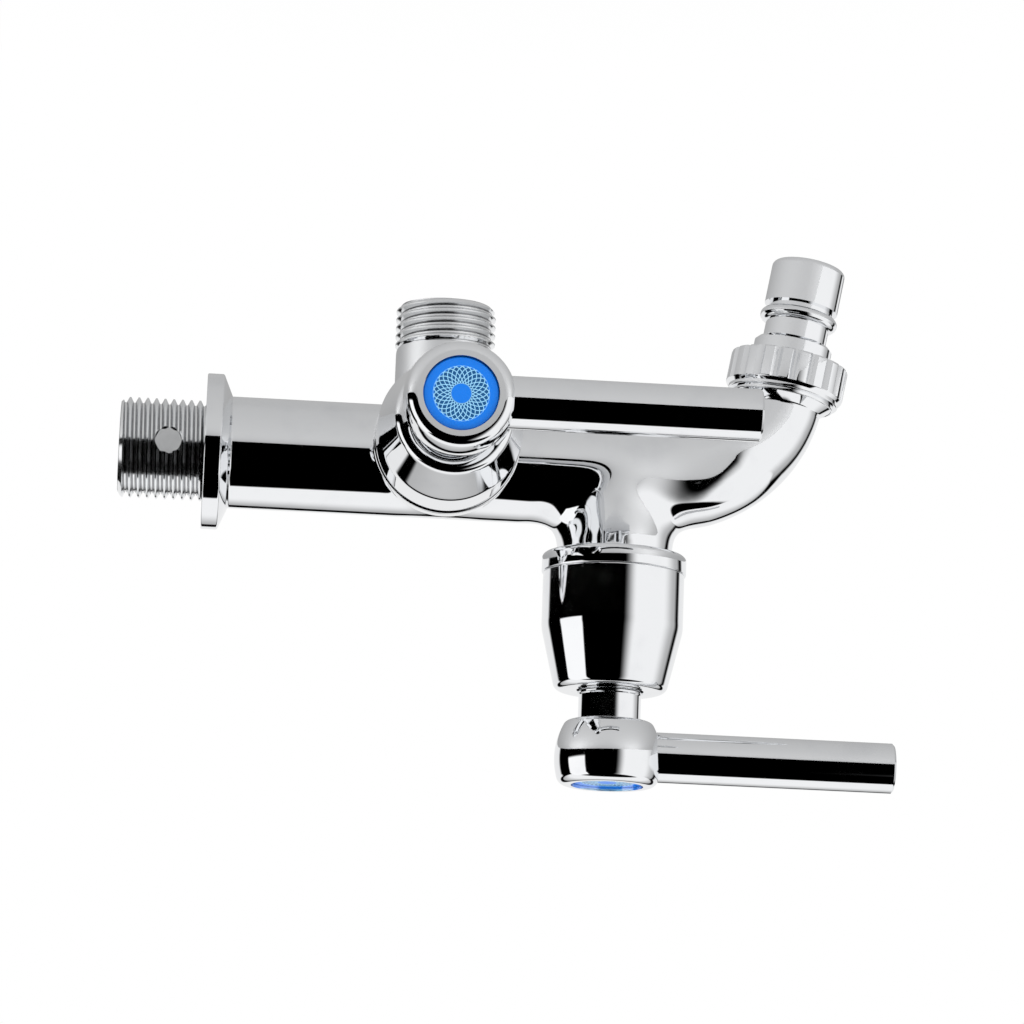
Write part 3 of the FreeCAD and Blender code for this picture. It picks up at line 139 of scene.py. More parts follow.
class NodeBoard:
    """The node tree of one material, or of the world."""

    def __init__(self, tree: bpy.types.NodeTree) -> None:
        """Empty the tree and keep it."""
        tree.nodes.clear()
        self.tree = tree

    def node(
        self, kind: str, settings: Optional[dict] = None, inputs: Optional[dict] = None
    ) -> bpy.types.Node:
        """Add one node.

        Args:
            kind: Blender's name for the node's type.
            settings: properties, set before the sockets; "stops" are a colour ramp's.
            inputs: values, signals or sockets, by the input's name or number.

        Returns:
            The new node.
        """
        made = self.tree.nodes.new(kind)
        for name, value in (settings or {}).items():
            if name == "stops":
                self._set_stops(made.color_ramp, value)
            else:
                setattr(made, name, value)
        for name, value in (inputs or {}).items():
            self._feed(made.inputs[name], value)
        return made

    def _feed(self, entry: bpy.types.NodeSocket, value: Feed) -> None:
        """Link a signal or socket to an input, or set the input's value."""
        if isinstance(value, Signal):
            self.tree.links.new(value.socket, entry)
        elif isinstance(value, bpy.types.NodeSocket):
            self.tree.links.new(value, entry)
        else:
            entry.default_value = value

    @staticmethod
    def _set_stops(ramp: bpy.types.ColorRamp, stops: Sequence[tuple[float, Colour]]) -> None:
        """Fill a colour ramp with (position, colour) stops."""
        while len(ramp.elements) < len(stops):
            ramp.elements.new(1.0)
        for element, (position, colour) in zip(ramp.elements, stops):
            element.position = position
            element.color = colour

    def signal(self, node: bpy.types.Node, output: Union[int, str] = 0) -> Signal:
        """Wrap one output of a node."""
        return Signal(self, node.outputs[output])

    def math(self, operation: str, *values: Number) -> Signal:
        """Add a Math node on up to three values."""
        settings = {"operation": operation}
        return self.signal(self.node("ShaderNodeMath", settings, dict(enumerate(values))))

    def place(self) -> bpy.types.NodeSocket:
        """Return the place on the piece, in metres."""
        return self.node("ShaderNodeTexCoord").outputs["Object"]

    def noise(self, place: Feed, scale: float, detail: float = 2.0) -> Signal:
        """Return a soft noise of about 0 to 1, with scale cells to the metre."""
        inputs = {"Vector": place, "Scale": scale, "Detail": detail}
        return self.signal(self.node("ShaderNodeTexNoise", None, inputs), "Fac")

    def mix(self, share: Number, first: Feed, second: Feed) -> bpy.types.NodeSocket:
        """Mix two colours: the first at share 0, the second at share 1."""
        settings = {"data_type": "RGBA"}
        inputs = {0: share, 6: first, 7: second}
        return self.node("ShaderNodeMix", settings, inputs).outputs[2]

    def split(self, vector: Feed) -> list[Signal]:
        """Return the three parts of a vector."""
        parts = self.node("ShaderNodeSeparateXYZ", None, {"Vector": vector})
        return [self.signal(parts, axis) for axis in "XYZ"]

    def bump(self, height: Signal, depth: float) -> bpy.types.NodeSocket:
        """Turn a height of 0 to 1 into a normal, with its depth in metres."""
        inputs = {"Strength": 1.0, "Distance": depth, "Height": height}
        return self.node("ShaderNodeBump", None, inputs).outputs["Normal"]

    def surface(self, shader: bpy.types.Node) -> None:
        """Make a shader the material's surface."""
        self.node("ShaderNodeOutputMaterial", None, {"Surface": shader.outputs[0]})

    def principled(self, inputs: dict) -> None:
        """Make a principled shader the material's surface."""
        self.surface(self.node("ShaderNodeBsdfPrincipled", None, inputs))

    def polar(self, centre: Triple, across: Sequence[int]) -> tuple[Signal, Signal]:
        """Measure round an axis of the piece.

        Args:
            centre: a point on the axis in millimetres.
            across: the numbers of the two axes that lie across it.

        Returns:
            The distance from the axis in millimetres, and the angle round it in radians.
        """
        inputs = {"Vector": self.place(), "Location": tuple(-part * MM for part in centre)}
        moved = self.node("ShaderNodeMapping", {"vector_type": "POINT"}, inputs)
        parts = self.split(moved.outputs[0])
        first, second = (parts[axis] / MM for axis in across)
        radius = self.math("SQRT", first * first + second * second)
        return radius, self.math("ARCTAN2", second, first)


def new_board(name: str) -> tuple[bpy.types.Material, NodeBoard]:
    """Start a material and its empty board.

    Args:
        name: the material's name.

    Returns:
        The material and its board.
    """
    material = bpy.data.materials.new(name)
    material.use_nodes = True
    return material, NodeBoard(material.node_tree)


@dataclass(frozen=True)
class ChromePlate:
    """Bright chrome over polished brass: a faint ripple below it and wiping marks on it."""

    name: str
    tint: Colour = (0.86, 0.87, 0.885, 1.0)
    worn_tint: Colour = (0.80, 0.81, 0.83, 1.0)
    gloss: float = 0.03
    smear: float = 0.07
    smear_scale: float = 130.0
    smear_span: Span = (0.48, 0.82)
    speck: float = 0.05
    speck_fineness: float = 9.0
    speck_span: Span = (0.66, 0.78)
    ripple_scale: float = 95.0
    ripple_depth: float = 0.000004

    def material(self) -> bpy.types.Material:
        """Build the plated metal."""
        material, board = new_board(self.name)
        place = board.place()
        smear = board.noise(place, self.smear_scale, 4.0).rise(*self.smear_span)
        specks = board.noise(place, self.speck_fineness * self.smear_scale).rise(*self.speck_span)
        ripple = board.noise(place, self.ripple_scale, 1.0)
        inputs = {
            "Base Color": board.mix(smear, self.tint, self.worn_tint),
            "Metallic": 1.0,
            "Roughness": self.gloss + self.smear * smear + self.speck * specks,
            "Normal": board.bump(ripple, self.ripple_depth),
        }
        board.principled(inputs)
        return material


@dataclass(frozen=True)
class ThreadChrome:
    """Thin plating on a cut thread: bright crests, and dull roots darkened with painted shade."""

    name: str
    centre: Triple
    across: tuple[int, int]
    root_radius: float = THREAD_RADIUS - THREAD_DEPTH
    shaded_root_band: Span = (0.06, 0.3)
    band_edge: float = 0.08
    crest_tint: Colour = (0.86, 0.87, 0.88, 1.0)
    # painted shade: the darker colour that the thread's roots get in place of the shade in their
    # grooves
    root_painted_shade: Colour = (0.40, 0.40, 0.405, 1.0)
    root_dullness: float = 0.17
    crest_polish: float = 0.10
    grime: float = 0.10
    grime_scale: float = 500.0

    def material(self) -> bpy.types.Material:
        """Build the thread's metal."""
        material, board = new_board(self.name)
        radius, _ = board.polar(self.centre, self.across)
        low, high = (self.root_radius + height for height in self.shaded_root_band)
        crest = 1 - radius.window(low, high, self.band_edge)
        grime = board.noise(board.place(), self.grime_scale, 4.0)
        inputs = {
            # painted shade: inside the root band the colour falls to the dark root colour, standing
            # in for shade in the grooves
            "Base Color": board.mix(crest, self.root_painted_shade, self.crest_tint),
            "Metallic": 1.0,
            "Roughness": self.root_dullness - self.crest_polish * crest + self.grime * grime,
        }
        board.principled(inputs)
        return material


@dataclass(frozen=True)
class BareMetal:
    """Turned brass or zinc-plated steel with fine tool marks and a mottled tarnish."""

    name: str
    clean: Colour
    tarnish: Colour
    gloss: float
    tarnish_scale: float = 300.0
    tarnish_span: Span = (0.35, 0.75)
    tarnish_dullness: float = 0.14
    mark_scale: float = 4200.0
    mark_depth: float = 0.000008

    def material(self) -> bpy.types.Material:
        """Build the turned metal."""
        material, board = new_board(self.name)
        place = board.place()
        tarnish = board.noise(place, self.tarnish_scale, 5.0).rise(*self.tarnish_span)
        marks = board.noise(place, self.mark_scale, 1.0)
        inputs = {
            "Base Color": board.mix(tarnish, self.clean, self.tarnish),
            "Metallic": 1.0,
            "Roughness": self.gloss + self.tarnish_dullness * tarnish,
            "Normal": board.bump(marks, self.mark_depth),
        }
        board.principled(inputs)
        return material


@dataclass(frozen=True)
class MouldedSeal:
    """Rubber or fired ceramic: a dull body with a fine grain."""

    name: str
    body: Colour
    bloom: Colour
    dullness: float
    grain_scale: float
    grain_depth: float = 0.00001
    bloom_size: float = 6.0
    bloom_span: Span = (0.45, 0.8)
    bloom_dullness: float = 0.1

    def material(self) -> bpy.types.Material:
        """Build the dull material."""
        material, board = new_board(self.name)
        place = board.place()
        bloom = board.noise(place, self.grain_scale / self.bloom_size, 4.0).rise(*self.bloom_span)
        grain = board.noise(place, self.grain_scale)
        inputs = {
            "Base Color": board.mix(bloom, self.body, self.bloom),
            "Roughness": self.dullness + self.bloom_dullness * bloom,
            "Normal": board.bump(grain, self.grain_depth),
        }
        board.principled(inputs)
        return material


class Facing(Enum):
    """Which way a valve looks, with the two axes that lie across it."""

    SIDE = ("side", 1, 2)
    TOP = ("top", 0, 1)


@dataclass(frozen=True)
class BlueCapPrint:
    """Glossy blue cap with a rosette of fine pale petals round a plain dot."""

    facing: Facing
    centre: Triple
    blue: Colour = (0.0, 0.20, 0.84, 1.0)
    ground: Colour = (0.0, 0.085, 0.26, 1.0)
    line: Colour = (0.33, 0.70, 1.0, 1.0)
    gloss: float = 0.26
    handling: float = 0.05
    handling_scale: float = 900.0
    petal_count: int = 26
    petal_waves: float = 3.6
    petal_reach: float = 5.55
    dot_radius: float = 1.97
    line_half_width: float = 0.09
    line_edges: Span = (0.7, 1.3)
    line_fade: float = 0.06
    ground_inset: float = 0.25
    ground_fade: float = 0.1

    def material(self) -> bpy.types.Material:
        """Build the printed cap."""
        label, *across = self.facing.value
        material, board = new_board(f"{label}_cap_print")
        radius, angle = board.polar(self.centre, across)
        lines, field = self._rosette(board, radius, angle)
        paper = board.mix(field, self.blue, self.ground)
        handling = board.noise(board.place(), self.handling_scale)
        inputs = {
            "Base Color": board.mix(lines, paper, self.line),
            "Roughness": self.gloss + self.handling * handling,
            "Specular IOR Level": 0.5,
        }
        board.principled(inputs)
        return material

    def _rosette(self, board: NodeBoard, radius: Signal, angle: Signal) -> tuple[Signal, Signal]:
        """Draw lines that wave between the dot and the tips of the petals.

        Args:
            board: the cap's board.
            radius: distance from the cap's middle in millimetres.
            angle: angle round the middle in radians.

        Returns:
            The lines, and the field that they cover.
        """
        swing = (self.petal_reach - self.dot_radius) / 2
        height = ((radius - self.dot_radius - swing) / swing).between(-1.0, 1.0)
        phase = board.math("ARCCOSINE", height)
        lean = phase / self.petal_waves
        steep = board.math("SINE", phase) * (swing * self.petal_waves)
        shrink = radius * steep / board.math("SQRT", radius * radius + steep * steep)
        pitch = FULL_TURN / self.petal_count
        thin, thick = (self.line_half_width * edge for edge in self.line_edges)
        lines = None
        for turned in (angle + lean, angle - lean):
            share = board.math("FRACT", turned / pitch + 2 * self.petal_count)
            apart = (0.5 - abs(share - 0.5)) * pitch
            gap = apart * (shrink + apart * (0.5 * swing * self.petal_waves**2))
            drawn = 1 - gap.rise(thin, thick)
            lines = drawn if lines is None else board.math("MAXIMUM", lines, drawn)
        field = radius.window(self.dot_radius, self.petal_reach - self.ground_inset, self.ground_fade)
        return lines * radius.window(self.dot_radius, self.petal_reach, self.line_fade), field


class Corner(NamedTuple):
    """One corner of a turned profile: radius, height and the size of its rounding."""

    radius: float
    height: float
    rounding: float = 0.0


class Bench:
    """Modelling steps that the pieces share, in millimetres about the origin."""

    merge_reach: float = 1e-4
    rounding_steps: int = 6

    @staticmethod
    def deselect() -> None:
        """Deselect every object."""
        bpy.ops.object.select_all(action="DESELECT")

    @classmethod
    def pick(cls, piece: bpy.types.Object) -> None:
        """Make one object the only one selected."""
        cls.deselect()
        piece.select_set(True)
        bpy.context.view_layer.objects.active = piece

    @classmethod
    @contextmanager
    def editing(cls, piece: bpy.types.Object) -> Iterator[None]:
        """Open one piece in edit mode with all of it selected, and close it afterwards."""
        cls.pick(piece)
        bpy.ops.object.mode_set(mode="EDIT")
        bpy.ops.mesh.select_all(action="SELECT")
        yield
        bpy.ops.object.mode_set(mode="OBJECT")

    @staticmethod
    @contextmanager
    def selecting(piece: bpy.types.Object) -> Iterator[bmesh.types.BMesh]:
        """Lend a piece's mesh, in edit mode with nothing selected, and keep what gets selected."""
        bpy.ops.mesh.select_all(action="DESELECT")
        shape = bmesh.from_edit_mesh(piece.data)
        yield shape
        shape.select_flush_mode()
        bmesh.update_edit_mesh(piece.data)

    @classmethod
    def modify(cls, piece: bpy.types.Object, kind: str, **settings: object) -> None:
        """Add one modifier to a piece and apply it.

        Args:
            piece: what it changes.
            kind: Blender's name for the modifier's type.
            settings: the modifier's properties.
        """
        cls.pick(piece)
        change = piece.modifiers.new(kind.lower(), kind)
        for name, value in settings.items():
            setattr(change, name, value)
        bpy.ops.object.modifier_apply(modifier=change.name)

    @classmethod
    def trace(cls, name: str, corners: Sequence[Corner]) -> bpy.types.Object:
        """Draw a profile from corner to corner in the XZ plane and round its corners.

        Args:
            name: the piece's name.
            corners: the profile's corners in order.

        Returns:
            The profile, in object mode.
        """
        cls.deselect()
        bpy.ops.mesh.primitive_plane_add(size=1.0)
        piece = bpy.context.object
        piece.name = name
        with cls.editing(piece):
            bpy.ops.mesh.merge(type="CENTER")
            bpy.ops.transform.translate(value=(corners[0].radius, 0.0, corners[0].height))
            for before, after in zip(corners, corners[1:]):
                step = (after.radius - before.radius, 0.0, after.height - before.height)
                bpy.ops.mesh.extrude_vertices_move(TRANSFORM_OT_translate={"value": step})
            for rounding in sorted({corner.rounding for corner in corners if corner.rounding}):
                spots = [Vector((c.radius, 0.0, c.height)) for c in corners if c.rounding == rounding]
                with cls.selecting(piece) as shape:
                    for vertex in shape.verts:
                        gaps = [(vertex.co - spot).length for spot in spots]
                        vertex.select = min(gaps) < cls.merge_reach
                bpy.ops.mesh.bevel(offset=rounding, segments=cls.rounding_steps, affect="VERTICES")
        return piece

    @classmethod
    def close_up(cls, piece: bpy.types.Object, smooth_angle: float = 32.0) -> bpy.types.Object:
        """Merge the doubles, turn the faces outwards and shade the piece smooth.

        Args:
            piece: what is closed.
            smooth_angle: degrees between faces up to which an edge looks round.

        Returns:
            The same piece.
        """
        with cls.editing(piece):
            bpy.ops.mesh.remove_doubles(threshold=cls.merge_reach)
            bpy.ops.mesh.normals_make_consistent(inside=False)
        bpy.ops.object.shade_smooth_by_angle(angle=math.radians(smooth_angle))
        return piece

    @classmethod
    def turn(cls, name: str, corners: Sequence[Corner], steps: int = 128) -> bpy.types.Object:
        """Turn a profile about Z into a closed piece.

        Args:
            name: the piece's name.
            corners: the profile, from axis to axis or back to its first corner.
            steps: faces round the piece.

        Returns:
            The turned piece.
        """
        piece = cls.trace(name, corners)
        with cls.editing(piece):
            bpy.ops.mesh.spin(steps=steps, angle=FULL_TURN, center=(0, 0, 0), axis=(0, 0, 1))
        return cls.close_up(piece)

    @classmethod
    def join_solids(cls, piece: bpy.types.Object, tool: bpy.types.Object, operation: str) -> None:
        """Cut or meet a piece with a tool, and throw the tool away.

        Args:
            piece: what stays.
            tool: what shapes it.
            operation: "DIFFERENCE" or "INTERSECT".
        """
        cls.modify(piece, "BOOLEAN", operation=operation, solver="EXACT", object=tool)
        bpy.data.objects.remove(tool)

    @classmethod
    def seat(cls, piece: bpy.types.Object, placing: Matrix) -> bpy.types.Object:
        """Move a finished piece from the bench to its place, in metres.

        Args:
            piece: the finished piece.
            placing: its place in millimetres.

        Returns:
            The same piece.
        """
        cls.pick(piece)
        piece.matrix_world = Matrix.Scale(MM, 4) @ placing @ piece.matrix_world
        bpy.ops.object.transform_apply(location=True, rotation=True, scale=True)
        return piece

    @staticmethod
    def dress(piece: bpy.types.Object, *materials: bpy.types.Material) -> None:
        """Give a piece its materials."""
        piece.data.materials.clear()
        for material in materials:
            piece.data.materials.append(material)


def fix_chrome(piece: bpy.types.Object, *materials: bpy.types.Material) -> None:
    """Dress a chrome piece that stays still, and fix it to the tap.

    Args:
        piece: the finished piece.
        materials: its finishes.
    """
    Bench.dress(piece, *materials)
    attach(piece, "tap")
    LOG.info("piece %s: %d faces", piece.name, len(piece.data.polygons))


def show_node(name: str, material: bpy.types.Material) -> None:
    """Give a CAD node that stays in sight a finished material.

    Args:
        name: the node's name.
        material: its finish.
    """
    for entry in frame["nodes"][name].material_slots:
        entry.material = material
    LOG.info("node %s: %s", name, material.name)


@dataclass
class PipeThread:
    """A parallel pipe thread cut on a chamfered blank, standing on z = 0."""

    name: str
    length: float
    major_radius: float = THREAD_RADIUS
    depth: float = THREAD_DEPTH
    pitch: float = 1.814
    bore_radius: float = BORE_RADIUS
    core_radius: float = 6.0
    chamfer: float = 1.0
    bore_chamfer: float = 0.4
    blank_slack: float = 0.01
    overrun: float = 0.5
    spare_turns: int = 3
    steps: int = 96
    smooth_angle: float = 28.0

    def build(self) -> bpy.types.Object:
        """Cut the thread and return it, on the bench."""
        ridge = self._ridge()
        Bench.join_solids(ridge, self._blank(), "INTERSECT")
        return Bench.close_up(ridge, self.smooth_angle)

    def _ridge(self) -> bpy.types.Object:
        """Sweep one tooth of the thread up a helix, and close its two ends.

        Returns:
            The helix, longer than the thread at both ends.
        """
        root = self.major_radius - self.depth
        shrink = self.core_radius / root
        flat = self.pitch / 12
        slope = self.pitch / 2 - 2 * flat
        heights = (0.0, flat, flat + slope, flat + slope + 2 * flat, self.pitch - flat, self.pitch)
        radii = (root, root, self.major_radius, self.major_radius, root, root)
        below = 2 * self.pitch
        corners = [Corner(radius, height - below) for radius, height in zip(radii, heights)]
        piece = Bench.trace(self.name, corners)
        Bench.modify(
            piece,
            "SCREW",
            axis="Z",
            angle=FULL_TURN,
            steps=self.steps,
            render_steps=self.steps,
            screw_offset=self.pitch,
            iterations=math.ceil(self.length / self.pitch) + self.spare_turns,
            use_merge_vertices=True,
            merge_threshold=Bench.merge_reach,
        )
        with Bench.editing(piece):
            bpy.ops.mesh.remove_doubles(threshold=Bench.merge_reach)
            for height, upper in ((-self.overrun, False), (self.length + self.overrun, True)):
                bpy.ops.mesh.select_all(action="SELECT")
                bpy.ops.mesh.bisect(
                    plane_co=(0, 0, height),
                    plane_no=(0, 0, 1),
                    use_fill=False,
                    clear_outer=upper,
                    clear_inner=not upper,
                )
                bpy.ops.mesh.extrude_edges_move()
                bpy.ops.transform.resize(value=(shrink, shrink, 1.0), center_override=(0, 0, height))
                bpy.ops.mesh.edge_face_add()
            bpy.ops.mesh.select_all(action="SELECT")
            bpy.ops.mesh.normals_make_consistent(inside=False)
        return piece

    def _blank(self) -> bpy.types.Object:
        """Turn the chamfered, bored blank that bounds the thread."""
        outer = self.major_radius + self.blank_slack
        mouth = self.bore_radius + self.bore_chamfer
        corners = [
            Corner(mouth, 0.0),
            Corner(outer, 0.0),
            Corner(outer, self.length - self.chamfer),
            Corner(outer - self.chamfer, self.length),
            Corner(mouth, self.length),
            Corner(self.bore_radius, self.length - self.bore_chamfer),
            Corner(self.bore_radius, 0.0),
            Corner(mouth, 0.0),
        ]
        return Bench.turn(f"{self.name}_blank", corners)


class Lamp(NamedTuple):
    """A soft square lamp: its place, its side, its watts and the point that it looks at."""

    name: str
    place: Triple
    width: float
    power: float
    target: Triple = (0.0, 0.0, 0.0)


@dataclass
class Studio:
    """Pale floor, dark tent with soft boxes that only the chrome reflects, lamps and camera.

    The soft boxes are given in degrees: round the tap from the front, to the right above zero,
    then up from the floor, and for the roof box over the tap from front to back.
    """

    floor_height: float = -0.30
    floor_radius: float = 1.54
    floor_paint: Colour = (0.45, 0.45, 0.45, 1.0)
    floor_white: float = 0.88
    floor_fade: Span = (0.2, 0.7)
    tent_radius: float = 3.0
    box_edge: float = 1.5
    left_box: Span = (-99.0, -55.0)
    left_box_height: Span = (-2.0, 48.0)
    left_box_glow: float = 1.1
    right_box_start: Span = (14.0, 36.0)
    right_box_fade: Span = (84.0, 112.0)
    right_box_end: Span = (112.0, 122.0)
    right_box_top: Span = (40.0, 46.0)
    back_box_right: Span = (125.0, 133.0)
    back_box_left: Span = (-138.0, -130.0)
    back_box_top: Span = (17.0, 20.0)
    back_box_glow: float = 0.9
    roof_box: Span = (85.0, 150.0)
    roof_box_foot: Span = (25.0, 28.0)
    roof_box_fade: Span = (118.0, 150.0)
    faded_by: float = 0.5
    world_glow: float = 0.75
    camera_place: Triple = (0.88375, -0.001546, 0.19006)
    camera_right: Triple = (0.07871, -0.99624, -0.03616)
    camera_up: Triple = (0.19629, 0.05105, -0.97922)
    camera_back: Triple = (0.97738, 0.06997, 0.19957)
    lens: float = 151.94
    sensor: float = 36.0
    lamps: tuple[Lamp, ...] = (
        Lamp("key_lamp", (0.7, -0.5, 1.3), 0.9, 9.0),
        Lamp("fill_lamp", (0.6, 0.9, 0.7), 0.8, 5.0),
        Lamp("right_floor_lamp", (0.85, -1.05, 0.45), 0.6, 7.0, (0.85, -1.05, 0.0)),
        Lamp("left_floor_lamp", (0.35, 1.25, 0.45), 0.6, 7.0, (0.35, 1.25, 0.0)),
    )

    def build(self) -> None:
        """Set up the whole studio."""
        for leftover in ("Cube", "Light", "Camera"):
            if leftover in bpy.data.objects:
                bpy.data.objects.remove(bpy.data.objects[leftover])
        self._camera()
        self._floor()
        self._tent()
        self._world()
        for lamp in self.lamps:
            self._hang(lamp)
        bpy.context.scene.view_settings.view_transform = "Standard"

    def _camera(self) -> None:
        """Stand the camera where the photograph was taken from."""
        data = bpy.data.cameras.new("camera")
        data.lens = self.lens
        data.sensor_width = self.sensor
        data.clip_start = 0.01
        data.clip_end = 20.0
        camera = bpy.data.objects.new("camera", data)
        bpy.context.scene.collection.objects.link(camera)
        columns = (self.camera_right, self.camera_up, self.camera_back)
        turn = Matrix(columns).transposed().to_4x4()
        camera.matrix_world = Matrix.Translation(self.camera_place) @ turn
        bpy.context.scene.camera = camera

    def _floor(self) -> None:
        """Lay a round pale floor that looks white to the camera and keeps the shadow."""
        Bench.deselect()
        place = (0, 0, self.floor_height)
        bpy.ops.mesh.primitive_circle_add(
            vertices=128, radius=self.floor_radius, fill_type="NGON", location=place
        )
        floor = bpy.context.object
        floor.name = "floor"
        material, board = new_board("pale_floor")
        seen = board.signal(board.node("ShaderNodeLightPath"), "Is Camera Ray")
        paint = board.node("ShaderNodeBsdfDiffuse", None, {"Color": self.floor_paint})
        white = board.node("ShaderNodeEmission", None, {"Color": WHITE, "Strength": 1.0})
        across, along, _ = board.split(board.place())
        reach = board.math("SQRT", across * across + along * along)
        share = self.floor_white + (1 - self.floor_white) * reach.rise(*self.floor_fade)
        inputs = {0: seen * share, 1: paint.outputs[0], 2: white.outputs[0]}
        board.surface(board.node("ShaderNodeMixShader", None, inputs))
        Bench.dress(floor, material)

    def _tent(self) -> None:
        """Hang the dark tent whose soft boxes the chrome mirrors."""
        Bench.deselect()
        bpy.ops.mesh.primitive_uv_sphere_add(segments=96, ring_count=48, radius=self.tent_radius)
        tent = bpy.context.object
        tent.name = "tent"
        for ray in ("visible_camera", "visible_diffuse", "visible_shadow", "visible_transmission"):
            setattr(tent, ray, False)
        material, board = new_board("tent_cloth")
        inputs = {"Color": WHITE, "Strength": self._soft_boxes(board)}
        board.surface(board.node("ShaderNodeEmission", None, inputs))
        Bench.dress(tent, material)

    def _soft_boxes(self, board: NodeBoard) -> Signal:
        """Light the soft boxes on the tent's cloth.

        Args:
            board: the cloth's board.

        Returns:
            The cloth's glow.
        """
        forward, left, up = board.split(board.place())
        degree = math.degrees(1.0)
        level = board.math("SQRT", forward * forward + left * left)
        azimuth = board.math("ARCTAN2", 0 - left, forward) * degree
        elevation = board.math("ARCTAN2", up, level) * degree
        overhead = board.math("ARCTAN2", up, forward) * degree
        left_sides = azimuth.window(*self.left_box, self.box_edge)
        left_ends = elevation.window(*self.left_box_height, self.box_edge)
        right_faded = 1 - self.faded_by * azimuth.rise(*self.right_box_fade)
        right_sides = azimuth.rise(*self.right_box_start) * (1 - azimuth.rise(*self.right_box_end))
        back_sides = azimuth.rise(*self.back_box_right) + 1 - azimuth.rise(*self.back_box_left)
        roof_faded = 1 - self.faded_by * overhead.rise(*self.roof_box_fade)
        roof_sides = overhead.window(*self.roof_box, self.box_edge)
        boxes = (
            right_faded * right_sides * (1 - elevation.rise(*self.right_box_top)),
            back_sides * (1 - elevation.rise(*self.back_box_top)) * self.back_box_glow,
            roof_faded * roof_sides * elevation.rise(*self.roof_box_foot),
        )
        glow = left_sides * left_ends * self.left_box_glow
        for box in boxes:
            glow = board.math("MAXIMUM", glow, box)
        return glow

    def _world(self) -> None:
        """Make the world white for what the camera and the metal see, and plain for the rest."""
        world = bpy.context.scene.world or bpy.data.worlds.new("studio")
        bpy.context.scene.world = world
        world.use_nodes = True
        board = NodeBoard(world.node_tree)
        rays = board.node("ShaderNodeLightPath")
        seen = board.signal(rays, "Is Camera Ray")
        for ray in ("Is Glossy Ray", "Is Transmission Ray"):
            seen = board.math("MAXIMUM", seen, board.signal(rays, ray))
        glow = self.world_glow + (1 - self.world_glow) * seen
        shader = board.node("ShaderNodeBackground", None, {"Color": WHITE, "Strength": glow})
        board.node("ShaderNodeOutputWorld", None, {"Surface": shader.outputs[0]})

    @staticmethod
    def _hang(lamp: Lamp) -> None:
        """Hang one lamp, which lights the scene but isn't mirrored."""
        data = bpy.data.lights.new(lamp.name, "AREA")
        data.energy = lamp.power
        data.size = lamp.width
        hung = bpy.data.objects.new(lamp.name, data)
        bpy.context.scene.collection.objects.link(hung)
        look = Vector(lamp.target) - Vector(lamp.place)
        hung.location = lamp.place
        hung.rotation_euler = look.to_track_quat("-Z", "Y").to_euler()
        hung.visible_glossy = False


class Finishes:
    """Every finish of the tap, made once."""

    def __init__(self) -> None:
        """Build the shared materials."""
        outlet_axis = (0.0, -SIDE_REACH, 0.0)
        self.cast = ChromePlate("cast_chrome").material()
        self.turned = ChromePlate("turned_chrome", ripple_depth=0.000003, smear=0.05).material()
        self.inlet_thread = ThreadChrome("inlet_thread_chrome", (0.0, 0.0, 0.0), (0, 2)).material()
        self.outlet_thread = ThreadChrome("outlet_thread_chrome", outlet_axis, (0, 1)).material()
        brass = BareMetal("turned_brass", (0.72, 0.50, 0.22, 1.0), (0.50, 0.31, 0.12, 1.0), 0.22)
        steel = BareMetal("zinc_steel", (0.60, 0.61, 0.62, 1.0), (0.42, 0.43, 0.45, 1.0), 0.24)
        black, grey = (0.018, 0.018, 0.019, 1.0), (0.05, 0.05, 0.052, 1.0)
        cream, white = (0.80, 0.78, 0.72, 1.0), (0.86, 0.85, 0.81, 1.0)
        self.brass = brass.material()
        self.steel = steel.material()
        self.rubber = MouldedSeal("black_rubber", black, grey, 0.55, 5200.0).material()
        self.ceramic = MouldedSeal("fired_ceramic", cream, white, 0.22, 7000.0).material()


def ease(value: float, span: Span) -> float:
    """Rise smoothly from 0 at the first end of a span to 1 at the second."""
    share = min(1.0, max(0.0, (value - span[0]) / (span[1] - span[0])))
    return share * share * (3 - 2 * share)


@dataclass(frozen=True)
class SpoutBend:
    """The bend that takes the pipe down to the nozzle and tapers on the way."""

    pipe_radius: float = 11.7
    reach: float = 96.2
    outer_radius: float = 34.0
    plain_turn: float = 25.0
    turn: float = 80.0
    end_radius: float = 8.6

    def end(self) -> Vector:
        """Return the middle of the spout's end."""
        angle = math.radians(self.turn)
        middle = self.outer_radius - self.end_radius
        pivot = Vector((0.0, -self.reach, self.pipe_radius - self.outer_radius))
        return pivot + middle * Vector((0.0, -math.sin(angle), math.cos(angle)))

    def way(self) -> Vector:
        """Return the way that the spout points at its end."""
        angle = math.radians(self.turn)
        return Vector((0.0, -math.cos(angle), -math.sin(angle)))

    def seat(self) -> Matrix:
        """Return the place of what stands on the spout's end."""
        turned = Matrix.Rotation(math.pi / 2 + math.radians(self.turn), 4, "X")
        return Matrix.Translation(self.end()) @ turned

    def measure(self, point: Vector) -> Triple:
        """Place a point against the pipe and its bend.

        Args:
            point: a place in millimetres.

        Returns:
            The spout's radius there, the distance out from its middle line and the degrees turned.
        """
        ahead = -self.reach - point.y
        up = point.z - self.pipe_radius + self.outer_radius
        if ahead < 0 or up < 0:
            return self.pipe_radius, point.z, 0.0
        turn = math.degrees(math.atan2(ahead, up))
        taper = ease(turn, (self.plain_turn, self.turn))
        radius = self.pipe_radius + (self.end_radius - self.pipe_radius) * taper
        return radius, math.hypot(ahead, up) - self.outer_radius + radius, turn


class Opening(NamedTuple):
    """A mouth of the casting: where its skin is cut, which way it faces, its radius and its bore."""

    place: Vector
    facing: Vector
    radius: float
    lip: float = 0.0
    bore_radius: float = 0.0
    bore_depth: float = 0.0


